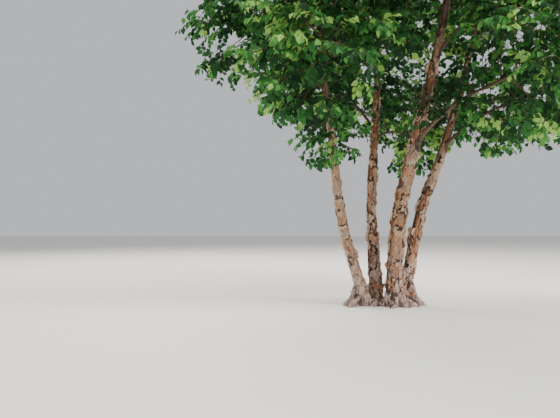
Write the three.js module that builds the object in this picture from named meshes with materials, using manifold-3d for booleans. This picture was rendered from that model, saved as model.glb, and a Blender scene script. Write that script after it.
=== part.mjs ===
// A river birch grown as a clump: four peeling stems that rise from one root crown, slender ascending
// boughs, and an airy rounded crown made of separate masses of foliage. Each solid is one piece of the
// tree: the root crown, a stem, a bough, or a mass of twigs and leaves. Millimetres, +Z up, and the origin
// is at ground level under the clump.

import * as THREE from "three";
import { mergeVertices } from "three/addons/utils/BufferGeometryUtils.js";
import Module from "manifold-3d";

const wasm = await Module();
wasm.setup();

// Where two pieces meet they keep this gap. No edge is left shorter than the shortest, and corners are
// rounded to the grain.
const JOINT_GAP = 0.3;
const SHORTEST_EDGE = 0.05;
const GRAIN = 0.001;

// The root crown is a low dome that the stems part from at the seat height. Two buttress roots run out from
// each stem's foot, turned to either side by these angles in radians, over a knee and down into the ground.
const SEAT_HEIGHT = 110;
const ROOT_CROWN = { centre: [5, 25, 0], halfLength: 285, halfWidth: 190, height: 78, sides: 12, rings: 6 };
const ROOT = { run: 190, radius: 50, taper: 0.62, turns: [-0.5, 0.55], sides: 6, rings: 2 };
const ROOT_FOOT_HEIGHT = 49.5;
const ROOT_KNEE = { along: 0.45, height: 18 };
const ROOT_END_HEIGHT = -16;

// The stems. Each leans out of the clump along its path, and thins from base to tip radius. It starts a
// little below the ground, so that the ground cuts it flat.
const STEMS = {
  left: {
    base: 50,
    tip: 8,
    path: [
      [-173, -20, 0], [-293, -45, 400], [-397, -90, 765],
      [-471, -160, 1308], [-629, -320, 2560], [-800, -500, 4100],
    ],
  },
  back: {
    base: 58,
    tip: 8,
    path: [
      [-70, 70, 0], [-88, 95, 390], [-99, 170, 950],
      [-71, 250, 1346], [0, 450, 2240], [70, 840, 4300],
    ],
  },
  main: {
    base: 80,
    tip: 10,
    path: [
      [72, -60, 0], [82, -75, 400], [119, -120, 897],
      [206, -180, 1307], [454, -420, 2560], [670, -550, 4760],
    ],
  },
  right: {
    base: 62,
    tip: 8,
    path: [
      [168, 60, 0], [239, 75, 392], [360, 110, 903],
      [529, 150, 1337], [850, 280, 2354], [1300, 500, 4400],
    ],
  },
};
const STEM = { taper: 1.4, below: 0.12, sides: 10, rings: 14 };
const FLARE = { extra: 0.3, height: 120 };

// The crown's outline: a rounded shape about an upright axis, widest at the waist and flatter below it.
const CROWN = { axis: [330, 60], waist: 3150, reach: 2350, above: 3080, below: 1750, roundness: 2.3 };

// The tiers of foliage: [bearing, height] of each mass, with bearings in degrees from +X towards +Y round
// the crown's axis. The low tier is left open at 265 degrees, where the main stem shows, and its left side
// is carried higher.
const TIERS = [
  {
    size: 830,
    places: [[352, 2080], [38, 2120], [84, 2180], [130, 2320], [176, 2600], [222, 2200], [306, 2100]],
  },
  {
    size: 860,
    places: [[20, 3150], [71, 3250], [123, 3300], [174, 3450], [226, 3350], [277, 3250], [329, 3150]],
  },
  {
    size: 820,
    places: [[66, 4300], [156, 4350], [252, 4350], [340, 4250]],
  },
];

// One mass tops each stem. It sits this share of its size above the stem's tip.
const TOP_RISE = 0.52;
const TOP_SIZE = { left: 850, back: 850, main: 980, right: 900 };

// Sprays that spring straight from a stem inside the crown: where on the stem, which way, how far off, and
// their size. They leave it slanting up, and rise by a share of the distance.
const INNER_SPRAYS = [
  { stem: "left", height: 1500, bearing: 262, distance: 330, size: 430 },
  { stem: "back", height: 1520, bearing: 25, distance: 330, size: 480 },
  { stem: "main", height: 2700, bearing: 150, distance: 560, size: 720 },
  { stem: "back", height: 3500, bearing: 318, distance: 560, size: 720 },
  { stem: "main", height: 4300, bearing: 128, distance: 560, size: 760 },
];
const INNER_SLANT = 0.9;
const INNER_RISE = 0.15;

// Boughs climb this much for each unit that they run outwards, with an arch that is a share of their
// length. They end a share of their foliage's size from its middle, or sooner if that is most of the way.
// Those of one stem leave it at different heights, moved up by steps until they are clear of each other.
const BOUGH = { climb: 0.8, arch: 0.16, entry: 0.6, soonest: 0.7, sides: 6, rings: 3 };
const BOUGH_HEIGHT = { lowest: 1430, spacing: 120, step: 20 };
const BOUGH_RADIUS = { share: 0.42, least: 15, tip: 12 };

// Foliage: each mass is a flattened ball. It keeps this far off its neighbours' spaces and off the limbs.
const FLATNESS = 0.88;
const CELL_MARGIN = 5;
const LIMB_MARGIN = 12;
const LIMB_SAMPLES = 24;

// The foot radius and droop of the stem inside a mass, by where the mass grows: on a bough, on a stem's
// tip, or straight from a stem's side. The droop is a share of the mass's size.
const ON_BOUGH = { footRadius: 14, droop: 0.22 };
const ON_TIP = { footRadius: 12, droop: -0.02 };
const ON_SIDE = { footRadius: 12, droop: 0.2 };

// The stem inside a mass stops short of its far side by a share of a leaf, and is bent like a bow. Side
// twigs spiral round it by the golden angle. Angles are in degrees, and stray by chance as far as it says.
const SPINE = { tip: 8, shortBy: 0.75, bend: 0.45, sides: 3, rings: 3 };
const TWIG = { perMetre: 7.2, from: 0.14, over: 0.8, base: 5, tip: 4.5, sides: 3, rings: 1 };
const TWIG_LENGTH = { shortBy: 0.8, leastOfRoom: 0.3, bend: 0.55, sag: 0.08 };
const TWIG_ANGLE = { low: 82, high: 42, chance: 16 };
const TWIG_TURN = { golden: 137.508, chance: 30 };
const TWIG_STEP_CHANCE = 0.6;

// Leaf sizes are shares of the mass's size, or of the leaf's own length. Each twig has these leaves: [place
// along the twig, swing in degrees]. A leaf with no room is tried again smaller before it is skipped.
const LEAF = { length: 0.56, width: 0.68, thickness: 0.022, widest: 0.42, sunk: 0.45 };
const LEAF_HANG = { droop: 0.45, least: 0.4, roll: 120, swingChance: 20 };
const LEAVES_ON_TWIG = [[1, 0], [0.5, 58], [0.78, -56]];
const LEAF_TRIES = [1.12, 1, 0.9, 0.8, 0.7, 0.6, 0.5];

// Where a twig and a leaf are tested for room: along the twig, and across the leaf from its base and its tip.
const TWIG_TESTS = [0.25, 0.5, 0.75, 1];
const LEAF_TESTS = { across: 6, fromBase: [0.4, 0.7, 1], fromTip: [0, 0.35, 0.7] };

// The generator of repeatable numbers.
const GENERATOR = { modulus: 2147483647, factor: 48271, spread: 9973 };

const UP = new THREE.Vector3(0, 0, 1);
const vector = (point) => new THREE.Vector3(...point);
const radians = THREE.MathUtils.degToRad;

// A repeatable source of numbers from 0 to 1 (a Park-Miller generator).
function seeded(seed) {
  const { modulus, factor, spread } = GENERATOR;
  let state = (seed * spread) % modulus;
  return () => {
    state = (state * factor) % modulus;
    return state / modulus;
  };
}

// Solids and geometries

function solidOf(geometry) {
  const bare = new THREE.BufferGeometry();
  bare.setAttribute("position", geometry.getAttribute("position"));
  bare.setIndex(geometry.getIndex());
  const merged = mergeVertices(bare, GRAIN);
  return new wasm.Manifold(
    new wasm.Mesh({
      numProp: 3,
      vertProperties: new Float32Array(merged.getAttribute("position").array),
      triVerts: new Uint32Array(merged.getIndex().array),
    }),
  );
}

function geometryOf(solid) {
  const mesh = solid.getMesh();
  const geometry = new THREE.BufferGeometry();
  geometry.setAttribute("position", new THREE.BufferAttribute(mesh.vertProperties, 3));
  geometry.setIndex(new THREE.BufferAttribute(mesh.triVerts, 1));
  return geometry;
}

// Closes up a solid's tiniest edges, rounds its corners and keeps its largest body, so that no loose scrap is
// left.
function oneBody(solid) {
  const geometry = geometryOf(solid.simplify(SHORTEST_EDGE));
  const position = geometry.getAttribute("position");
  position.set(position.array.map((value) => Math.round(value / GRAIN) * GRAIN));
  const bodies = solidOf(geometry).decompose();
  return bodies.sort((a, b) => b.volume() - a.volume())[0];
}

// A tapered limb: a closed cylinder bent along its curve, made thicker all round by an extra.
function limbSolid({ curve, radiusAt, sides, rings }, extra = 0) {
  const geometry = new THREE.CylinderGeometry(1, 1, 1, sides, rings);
  const frames = curve.computeFrenetFrames(rings);
  const position = geometry.getAttribute("position");
  for (let i = 0; i < position.count; i++) {
    const along = position.getY(i) + 0.5;
    const ring = Math.round(along * rings);
    const point = curve.getPointAt(along);
    const radius = radiusAt(along) + extra;
    point.addScaledVector(frames.normals[ring], position.getX(i) * radius);
    point.addScaledVector(frames.binormals[ring], -position.getZ(i) * radius);
    position.setXYZ(i, point.x, point.y, point.z);
  }
  return solidOf(geometry);
}

// A level slab that is wider than the tree.
function slab(low, high) {
  const wide = 2 * (CROWN.axis[0] + CROWN.reach);
  return solidOf(new THREE.BoxGeometry(wide, wide, high - low).translate(0, 0, (low + high) / 2));
}

// Stems and root crown

function makeStem(name, { base, tip, path }) {
  const points = path.map(vector);
  const start = points[0].clone().lerp(points[1], -STEM.below);
  const curve = new THREE.CatmullRomCurve3([start, ...points], false, "centripetal");
  const radiusAt = (along) => {
    const swell = base * FLARE.extra * Math.exp(-Math.max(curve.getPointAt(along).z, 0) / FLARE.height);
    return tip + (base - tip) * (1 - along) ** STEM.taper + swell;
  };
  const alongAtHeight = (height) => {
    let low = 0;
    let high = 1;
    while (high - low > 1e-9) {
      const middle = (low + high) / 2;
      if (curve.getPointAt(middle).z < height) low = middle;
      else high = middle;
    }
    return low;
  };
  return { name, curve, radiusAt, alongAtHeight, sides: STEM.sides, rings: STEM.rings };
}

function makeRootCrown(stems) {
  const { centre, halfLength, halfWidth, height, sides, rings } = ROOT_CROWN;
  const dome = new THREE.SphereGeometry(1, sides, rings);
  dome.scale(halfLength, halfWidth, height).translate(...centre);
  const pieces = [solidOf(dome)];
  const middle = vector(centre);
  for (const stem of stems) {
    pieces.push(limbSolid(stem));
    const foot = stem.curve.getPointAt(stem.alongAtHeight(ROOT_FOOT_HEIGHT));
    const outward = Math.atan2(foot.y - middle.y, foot.x - middle.x);
    for (const turn of ROOT.turns) {
      const run = new THREE.Vector3(Math.cos(outward + turn), Math.sin(outward + turn), 0);
      run.multiplyScalar(ROOT.run);
      const knee = foot.clone().addScaledVector(run, ROOT_KNEE.along).setZ(ROOT_KNEE.height);
      const end = foot.clone().add(run).setZ(ROOT_END_HEIGHT);
      const curve = new THREE.QuadraticBezierCurve3(foot, knee, end);
      const radiusAt = (along) => ROOT.radius * (1 - ROOT.taper * along);
      pieces.push(limbSolid({ curve, radiusAt, sides: ROOT.sides, rings: ROOT.rings }));
    }
  }
  return wasm.Manifold.union(pieces).intersect(slab(0, SEAT_HEIGHT));
}

// Foliage spaces and boughs

function crownReach(height) {
  const rise = height - CROWN.waist;
  const share = Math.min(Math.abs(rise) / (rise > 0 ? CROWN.above : CROWN.below), 1);
  return CROWN.reach * (1 - share ** CROWN.roundness) ** (1 / CROWN.roundness);
}

function bearingVector(bearing) {
  return new THREE.Vector3(Math.cos(radians(bearing)), Math.sin(radians(bearing)), 0);
}

function tierCentre(size, [bearing, height]) {
  const from = new THREE.Vector3(CROWN.axis[0], CROWN.axis[1], height);
  return from.addScaledVector(bearingVector(bearing), crownReach(height) - size);
}

// The bough that carries a mass of foliage, from the stem that stands nearest under it.
function makeBough(centre, size, stems, boughs) {
  let best = null;
  for (const stem of stems) {
    const beside = stem.curve.getPointAt(stem.alongAtHeight(centre.z - BOUGH.climb * size));
    const run = Math.hypot(centre.x - beside.x, centre.y - beside.y);
    if (!best || run < best.run) best = { stem, run };
  }
  const { stem, run } = best;
  const { lowest, spacing, step } = BOUGH_HEIGHT;
  const own = boughs.filter((other) => other.stem === stem);
  let height = Math.max(centre.z - BOUGH.climb * run, lowest);
  while (own.some((other) => Math.abs(other.height - height) < spacing)) height += step;

  const along = stem.alongAtHeight(height);
  const start = stem.curve.getPointAt(along);
  const short = Math.min((BOUGH.entry * size) / centre.distanceTo(start), BOUGH.soonest);
  const end = centre.clone().lerp(start, short);
  const knee = start.clone().lerp(end, 0.5);
  knee.z += BOUGH.arch * start.distanceTo(end);
  const curve = new THREE.QuadraticBezierCurve3(start, knee, end);
  const { share, least, tip } = BOUGH_RADIUS;
  const base = Math.max(share * stem.radiusAt(along), least);
  const radiusAt = (t) => base + (tip - base) * t;
  return { stem, height, curve, radiusAt, sides: BOUGH.sides, rings: BOUGH.rings };
}

// Samples of a limb's centreline with its radius, for tests of clearance.
function limbSamples(limb) {
  const samples = [];
  for (let i = 0; i <= LIMB_SAMPLES; i++) {
    const along = i / LIMB_SAMPLES;
    samples.push({ at: limb.curve.getPointAt(along), radius: limb.radiusAt(along) });
  }
  return samples;
}

function clearOfLimbs(points, limbs) {
  const segment = new THREE.Line3();
  const nearest = new THREE.Vector3();
  for (const samples of limbs) {
    for (let i = 1; i < samples.length; i++) {
      segment.set(samples[i - 1].at, samples[i].at);
      const reach = samples[i - 1].radius + LIMB_MARGIN;
      for (const point of points) {
        segment.closestPointToPoint(point, true, nearest);
        if (nearest.distanceToSquared(point) < reach * reach) return false;
      }
    }
  }
  return true;
}

// A mass keeps inside its flattened ball, and on its own side of a wall where that ball meets each
// neighbour's.
function raiseWalls(mass, masses) {
  const power = (m) => m.centre.lengthSq() - m.size ** 2;
  const near = (other) => other !== mass && other.centre.distanceTo(mass.centre) < 2 * mass.size;
  mass.walls = masses.filter(near).map((other) => {
    const away = other.centre.clone().sub(mass.centre);
    return { away, limit: (power(other) - power(mass)) / 2 - CELL_MARGIN * away.length() };
  });
}

// Lengths measured in a mass's ball as if the ball were not flattened.
const unflattened = (v) => new THREE.Vector3(v.x, v.y, v.z / FLATNESS);

function insideSpace(point, mass) {
  if (unflattened(point.clone().sub(mass.centre)).length() > mass.size) return false;
  return mass.walls.every(({ away, limit }) => point.dot(away) <= limit);
}

// How far a ray runs before it leaves a mass's ball or meets one of its walls.
function runInside(origin, direction, mass) {
  const from = unflattened(origin.clone().sub(mass.centre));
  const way = unflattened(direction);
  const a = way.lengthSq();
  const b = from.dot(way);
  const c = from.lengthSq() - mass.size ** 2;
  const toShell = (-b + Math.sqrt(Math.max(b * b - a * c, 0))) / a;
  const toWalls = mass.walls.map(({ away, limit }) => {
    const closing = direction.dot(away);
    return closing > 0 ? (limit - origin.dot(away)) / closing : Infinity;
  });
  return Math.min(toShell, ...toWalls);
}

// Leaves and twigs

// One blade of eight faces. Its base lies just inside the far side of the twig that it springs from.
function leafPoints(root, direction, roll, length) {
  const along = direction.clone().normalize();
  const side = new THREE.Vector3().crossVectors(UP, along).normalize().applyAxisAngle(along, roll);
  const face = new THREE.Vector3().crossVectors(along, side);
  const start = root.clone().addScaledVector(along, -LEAF.sunk * TWIG.tip);
  const middle = start.clone().addScaledVector(along, LEAF.widest * length);
  const halfWidth = (LEAF.width * length) / 2;
  const halfThickness = (LEAF.thickness * length) / 2;
  return {
    start,
    end: start.clone().addScaledVector(along, length),
    left: middle.clone().addScaledVector(side, halfWidth),
    right: middle.clone().addScaledVector(side, -halfWidth),
    top: middle.clone().addScaledVector(face, halfThickness),
    under: middle.clone().addScaledVector(face, -halfThickness),
  };
}

// An octahedron pulled out to a blade: its six corners go to the leaf's tip, base, edges and faces.
function leafSolid({ start, end, left, right, top, under }) {
  const geometry = new THREE.OctahedronGeometry(1);
  const position = geometry.getAttribute("position");
  for (let i = 0; i < position.count; i++) {
    const [x, y, z] = [position.getX(i), position.getY(i), position.getZ(i)];
    let corner = z > 0 ? top : under;
    if (Math.abs(x) > 0.5) corner = x > 0 ? end : start;
    if (Math.abs(y) > 0.5) corner = y > 0 ? left : right;
    position.setXYZ(i, corner.x, corner.y, corner.z);
  }
  return solidOf(geometry);
}

function leafSamples({ start, end, left, right }) {
  const samples = [];
  for (let i = 0; i <= LEAF_TESTS.across; i++) {
    const across = left.clone().lerp(right, i / LEAF_TESTS.across);
    for (const t of LEAF_TESTS.fromBase) samples.push(start.clone().lerp(across, t));
    for (const t of LEAF_TESTS.fromTip) samples.push(end.clone().lerp(across, t));
  }
  return samples;
}

const twigSamples = (curve) => TWIG_TESTS.map((t) => curve.getPointAt(t));

// The stem inside a mass, from its foot to its far side.
function spineCurve({ foot, heading, centre, size, droop }, room) {
  const outward = centre.clone().sub(foot).normalize();
  const reach = room(centre, outward) - SPINE.shortBy * LEAF.length * size;
  const end = centre.clone().addScaledVector(outward, reach);
  end.z -= droop * size;
  const bend = foot.clone().addScaledVector(heading, foot.distanceTo(end) * SPINE.bend);
  return new THREE.QuadraticBezierCurve3(foot, bend, end);
}

// The side twig number k of a count of them round the stem inside a mass.
function sideTwigCurve(spine, k, count, size, room, random) {
  const t = TWIG.from + (TWIG.over * (k + TWIG_STEP_CHANCE * random())) / count;
  const from = spine.getPointAt(t);
  const tangent = spine.getTangentAt(t);
  const side = new THREE.Vector3().crossVectors(tangent, UP).normalize();
  side.applyAxisAngle(tangent, radians(k * TWIG_TURN.golden + TWIG_TURN.chance * random()));
  const { low, high, chance } = TWIG_ANGLE;
  const spread = low + (high - low) * t + chance * (random() - 0.5);
  const direction = tangent.clone().applyAxisAngle(side, radians(spread));
  const most = room(from, direction);
  const { shortBy, leastOfRoom, bend, sag } = TWIG_LENGTH;
  const length = Math.max(most - shortBy * LEAF.length * size, leastOfRoom * most);
  const tip = from.clone().addScaledVector(direction, length);
  tip.z -= sag * length;
  const middle = from.clone().addScaledVector(direction, length * bend);
  return new THREE.QuadraticBezierCurve3(from, middle, tip);
}

// Grows a mass of foliage: one stem, side twigs round it, and leaves on those.
function growFoliage(mass, limbs) {
  const random = seeded(mass.seed);
  const { size, footRadius } = mass;
  const room = (origin, direction) => runInside(origin, direction, mass);
  const inside = (point) => insideSpace(point, mass);
  const fits = (points) => points.every(inside) && clearOfLimbs(points, limbs);

  const spine = spineCurve(mass, room);
  const spineRadius = (t) => footRadius + (SPINE.tip - footRadius) * t;
  const pieces = [limbSolid({ ...SPINE, curve: spine, radiusAt: spineRadius })];
  const first = { own: pieces[0], root: spine.getPointAt(1), direction: spine.getTangentAt(1), swing: 0 };
  const shoots = [first];

  const twigCount = Math.round((TWIG.perMetre * size) / 1000);
  const twigRadius = (t) => TWIG.base + (TWIG.tip - TWIG.base) * t;
  for (let k = 0; k < twigCount; k++) {
    const twig = sideTwigCurve(spine, k, twigCount, size, room, random);
    if (!fits(twigSamples(twig))) continue;
    const own = limbSolid({ ...TWIG, curve: twig, radiusAt: twigRadius });
    pieces.push(own);
    for (const [place, swing] of LEAVES_ON_TWIG) {
      shoots.push({ own, root: twig.getPointAt(place), direction: twig.getTangentAt(place), swing });
    }
  }

  const { droop, least, roll, swingChance } = LEAF_HANG;
  for (const { own, root, direction, swing } of shoots) {
    const turn = radians(swing + swingChance * (random() - 0.5));
    const turned = direction.clone().applyAxisAngle(UP, turn);
    turned.z -= droop * (least + random());
    for (const share of LEAF_TRIES) {
      const tilt = radians(roll * (random() - 0.5));
      const points = leafPoints(root, turned, tilt, LEAF.length * size * share);
      if (!fits(leafSamples(points))) continue;
      const leaf = leafSolid(points);
      if (pieces.some((piece) => piece !== own && !piece.intersect(leaf).isEmpty())) continue;
      pieces.push(leaf);
      break;
    }
  }
  const solid = wasm.Manifold.union(pieces);
  return oneBody(mass.clearOf ? solid.subtract(mass.clearOf) : solid);
}

// The whole tree

const stems = Object.entries(STEMS).map(([name, sizes]) => makeStem(name, sizes));
const stemNamed = (name) => stems.find((stem) => stem.name === name);

const boughs = [];
const masses = [];

for (const tier of TIERS) {
  for (const place of tier.places) {
    const centre = tierCentre(tier.size, place);
    const bough = makeBough(centre, tier.size, stems, boughs);
    const number = boughs.filter((other) => other.stem === bough.stem).length + 1;
    bough.name = `bough_${bough.stem.name}_${number}`;
    boughs.push(bough);
    const heading = bough.curve.getTangentAt(1);
    const foot = bough.curve.getPointAt(1).addScaledVector(heading, JOINT_GAP);
    const name = `foliage_${bough.stem.name}_${number}`;
    masses.push({ ...ON_BOUGH, name, centre, size: tier.size, foot, heading });
  }
}

for (const stem of stems) {
  const size = TOP_SIZE[stem.name];
  const heading = stem.curve.getTangentAt(1);
  const foot = stem.curve.getPointAt(1).addScaledVector(heading, JOINT_GAP);
  const centre = foot.clone().addScaledVector(UP, TOP_RISE * size);
  masses.push({ ...ON_TIP, name: `foliage_${stem.name}_top`, centre, size, foot, heading });
}

INNER_SPRAYS.forEach(({ stem: stemName, height, bearing, distance, size }, i) => {
  const stem = stemNamed(stemName);
  const foot = stem.curve.getPointAt(stem.alongAtHeight(height));
  const way = bearingVector(bearing);
  const centre = foot.clone().addScaledVector(way, distance).addScaledVector(UP, INNER_RISE * distance);
  const heading = way.clone().addScaledVector(UP, INNER_SLANT).normalize();
  const clearOf = limbSolid(stem, JOINT_GAP);
  masses.push({ ...ON_SIDE, name: `foliage_inner_${i + 1}`, centre, size, foot, heading, clearOf });
});

masses.forEach((mass, i) => {
  mass.seed = i + 1;
  raiseWalls(mass, masses);
});

const BARK = new THREE.MeshStandardMaterial({ color: 0xc79a7c, roughness: 0.85, metalness: 0 });
const YOUNG_BARK = new THREE.MeshStandardMaterial({ color: 0x8a6248, roughness: 0.75, metalness: 0 });
const LEAVES = new THREE.MeshStandardMaterial({ color: 0x3f6b2a, roughness: 0.6, metalness: 0 });

const tree = new THREE.Group();

function addPiece(name, solid, material) {
  const mesh = new THREE.Mesh(geometryOf(solid), material);
  mesh.name = name;
  tree.add(mesh);
}

addPiece("root_crown", makeRootCrown(stems), BARK);

const aboveSeat = slab(SEAT_HEIGHT + JOINT_GAP, CROWN.waist + CROWN.above);
for (const stem of stems) addPiece(`stem_${stem.name}`, limbSolid(stem).intersect(aboveSeat), BARK);

for (const bough of boughs) {
  const solid = limbSolid(bough).subtract(limbSolid(bough.stem, JOINT_GAP));
  addPiece(bough.name, oneBody(solid), YOUNG_BARK);
}

const limbs = [...stems, ...boughs].map((limb) => limbSamples(limb));
for (const mass of masses) addPiece(mass.name, growFoliage(mass, limbs), LEAVES);

export default tree;
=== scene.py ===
# %% [markdown]
# # A river birch clump in full leaf
#
# The tree is a garden river birch with four stems from one root crown. Its bark peels in salmon and cream
# sheets, and its airy crown starts at about head height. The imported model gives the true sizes: every limb
# and mass of foliage stands there as a plain solid. This lesson dresses each of them without moving
# anything.

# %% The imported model
from math import cos, hypot, pi, radians, sin, sqrt

import bmesh
import bpy
import numpy as np
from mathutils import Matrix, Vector, noise


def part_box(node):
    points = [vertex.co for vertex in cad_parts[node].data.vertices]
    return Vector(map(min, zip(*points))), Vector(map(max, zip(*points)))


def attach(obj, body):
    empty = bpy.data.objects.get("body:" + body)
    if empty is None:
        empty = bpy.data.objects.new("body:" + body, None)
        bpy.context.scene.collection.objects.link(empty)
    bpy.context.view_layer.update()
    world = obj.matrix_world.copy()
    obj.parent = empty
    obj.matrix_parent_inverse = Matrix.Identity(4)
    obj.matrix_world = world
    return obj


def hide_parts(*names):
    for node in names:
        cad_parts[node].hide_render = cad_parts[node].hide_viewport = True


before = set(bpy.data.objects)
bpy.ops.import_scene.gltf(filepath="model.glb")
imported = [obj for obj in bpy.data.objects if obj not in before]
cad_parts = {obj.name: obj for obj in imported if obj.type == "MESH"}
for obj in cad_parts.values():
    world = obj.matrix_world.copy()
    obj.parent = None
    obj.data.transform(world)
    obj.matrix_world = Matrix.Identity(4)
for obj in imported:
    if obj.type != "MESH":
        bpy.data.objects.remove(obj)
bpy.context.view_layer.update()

# %% [markdown]
# ## Camera, floor and light
#
# The camera stands about six metres away at hip height, a little left of the clump, so the crown runs out
# of the top of the picture. The floor is a plain pale sheet, and big area lights give a soft studio light:
# one high on the right in front, as the sun stood, one high behind on the left that shines through the
# leaves, a weak one from the left in front, and a pale sky.

# %% The camera
CAMERA_PLACE = (-0.945, -6.3, 0.747)
CAMERA_PITCH = radians(91.06)
CAMERA_LENS = 45
CAMERA_SENSOR = 36


def linked(name, data):
    """A new object at the origin, linked to the scene."""
    thing = bpy.data.objects.new(name, data)
    bpy.context.scene.collection.objects.link(thing)
    return thing


camera_data = bpy.data.cameras.new("camera")
camera_data.lens = CAMERA_LENS
camera_data.sensor_width = CAMERA_SENSOR
camera = linked("camera", camera_data)
camera.location = CAMERA_PLACE
camera.rotation_euler = (CAMERA_PITCH, 0, 0)
bpy.context.scene.camera = camera
print("camera at", CAMERA_PLACE)

# %% Soft lights and a pale sky
LIGHTS = {
    "key": {"place": (7.5, -5.5, 7.5), "size": 3.5, "power": 2300, "colour": (1, 0.97, 0.91)},
    "through_leaves": {"place": (-4.5, 6.5, 9.5), "size": 5, "power": 2200, "colour": (1, 0.96, 0.88)},
    "fill": {"place": (-7, -6, 3), "size": 5, "power": 100, "colour": (0.93, 0.97, 1)},
}
LIGHT_AIMS = {"key": (0.3, 0, 2.6), "through_leaves": (0.3, 0, 2.6), "fill": (0.3, 0, 1.2)}
SKY_COLOUR = (0.93, 0.96, 1, 1)
SKY_STRENGTH = 0.66

for name, sizes in LIGHTS.items():
    data = bpy.data.lights.new(name, "AREA")
    data.size = sizes["size"]
    data.energy = sizes["power"]
    data.color = sizes["colour"]
    light = linked(name, data)
    light.location = sizes["place"]
    way = Vector(LIGHT_AIMS[name]) - Vector(sizes["place"])
    light.rotation_euler = way.to_track_quat("-Z", "Y").to_euler()

sky = bpy.data.worlds.new("sky")
sky.use_nodes = True
background = sky.node_tree.nodes["Background"]
background.inputs["Color"].default_value = SKY_COLOUR
background.inputs["Strength"].default_value = SKY_STRENGTH
bpy.context.scene.world = sky
print(len(LIGHTS), "lights and a sky")


# %% [markdown]
# ## Writing shader maths as sums
#
# A finish is easier to read as a formula than as a list of nodes. `Wire` wraps one output of a node, so
# that `1 - mask * 0.4` adds the Math nodes by itself. `Finish` owns one material: its `add` makes any other
# node from its type, its settings and the values of its sockets.

# %% A wire and a finish
class Wire:
    """One output of a node. Sums and products on it add Math nodes."""

    def __init__(self, finish, socket):
        self.finish = finish
        self.socket = socket

    def maths(self, operation, *values):
        return self.finish.add("ShaderNodeMath", {"operation": operation}, dict(enumerate(values)))

    def __add__(self, other):
        return self.maths("ADD", self, other)

    def __radd__(self, other):
        return self.maths("ADD", other, self)

    def __sub__(self, other):
        return self.maths("SUBTRACT", self, other)

    def __rsub__(self, other):
        return self.maths("SUBTRACT", other, self)

    def __mul__(self, other):
        return self.maths("MULTIPLY", self, other)

    def __rmul__(self, other):
        return self.maths("MULTIPLY", other, self)


class Finish:
    """One material, with a Principled shader that its methods feed."""

    def __init__(self, name, roughness=0.6, sheen=0.5):
        self.material = bpy.data.materials.new(name)
        self.material.use_nodes = True
        self.tree = self.material.node_tree
        self.shader = self.tree.nodes["Principled BSDF"]
        self.shader.inputs["Roughness"].default_value = roughness
        self.shader.inputs["Specular IOR Level"].default_value = sheen

    def add(self, kind, settings=None, values=None, output=0):
        node = self.tree.nodes.new(kind)
        for name, setting in (settings or {}).items():
            if name == "stops":
                self.set_stops(node.color_ramp, setting)
            else:
                setattr(node, name, setting)
        for key, value in (values or {}).items():
            self.feed(node.inputs[key], value)
        return Wire(self, node.outputs[output])

    def feed(self, socket, value):
        if isinstance(value, Wire):
            self.tree.links.new(value.socket, socket)
        else:
            socket.default_value = value

    @staticmethod
    def set_stops(ramp, stops):
        while len(ramp.elements) < len(stops):
            ramp.elements.new(1)
        for element, (place, colour) in zip(ramp.elements, stops):
            element.position = place
            element.color = colour

    def place(self, scale):
        """Object coordinates, stretched by a factor for each axis."""
        coordinates = self.add("ShaderNodeTexCoord", output="Object")
        return self.add("ShaderNodeVectorMath", {"operation": "MULTIPLY"}, {0: coordinates, 1: scale})

    def grain(self, scale, detail=3.0, roughness=0.55, distortion=0.0):
        """Fractal noise from 0 to 1 at a size for each axis."""
        values = {"Vector": self.place(scale), "Scale": 1.0, "Detail": detail}
        values.update({"Roughness": roughness, "Distortion": distortion})
        return self.add("ShaderNodeTexNoise", values=values)

    def wobble(self, scale):
        """A wandering vector, to bend another pattern with."""
        values = {"Vector": self.place(scale), "Scale": 1.0, "Detail": 2.0}
        return self.add("ShaderNodeTexNoise", values=values, output="Color")

    def attribute(self, name):
        return self.add("ShaderNodeAttribute", {"attribute_name": name}, output="Fac")

    def step(self, value, low, high):
        """0 below low, 1 above high, and a smooth step between."""
        values = {"Value": value, "From Min": low, "From Max": high}
        return self.add("ShaderNodeMapRange", {"interpolation_type": "SMOOTHSTEP"}, values)

    def mix(self, factor, first, second):
        """Mixes two colours."""
        return self.add("ShaderNodeMix", {"data_type": "RGBA"}, {0: factor, 6: first, 7: second}, output=2)

    def shades(self, value, stops):
        """The colour at a value from 0 to 1 on a ramp of (place, colour) stops."""
        return self.add("ShaderNodeValToRGB", {"stops": stops}, {0: value})

    def washed(self, colour, *washes):
        """A colour under washes, each a mask from 0 to 1, a strength and a colour of its own."""
        for mask, strength, wash in washes:
            colour = self.mix(mask * strength, colour, wash)
        return colour

    def wear(self, colour, roughness=None, relief=None, depth=0.001):
        """Feeds the shader: its colour, its roughness, and a bump of a depth in metres."""
        self.feed(self.shader.inputs["Base Color"], colour)
        if roughness is not None:
            self.feed(self.shader.inputs["Roughness"], roughness)
        if relief is not None:
            bump = self.add("ShaderNodeBump", values={"Height": relief, "Distance": depth, "Strength": 1.0})
            self.feed(self.shader.inputs["Normal"], bump)

    def let_light_through(self, colour, share):
        """Mixes in a share of light that passes through, in a colour."""
        through = self.add("ShaderNodeBsdfTranslucent", values={"Color": colour})
        own = Wire(self, self.shader.outputs["BSDF"])
        both = self.add("ShaderNodeMixShader", values={0: share, 1: own, 2: through})
        self.feed(self.tree.nodes["Material Output"].inputs["Surface"], both)


def paint(red, green, blue):
    """A screen colour, from 0 to 255, as the linear colour that shaders use."""
    return (*(((c / 255 + 0.055) / 1.055) ** 2.4 for c in (red, green, blue)), 1)


# %% The floor
FLOOR_HALF = 30

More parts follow.
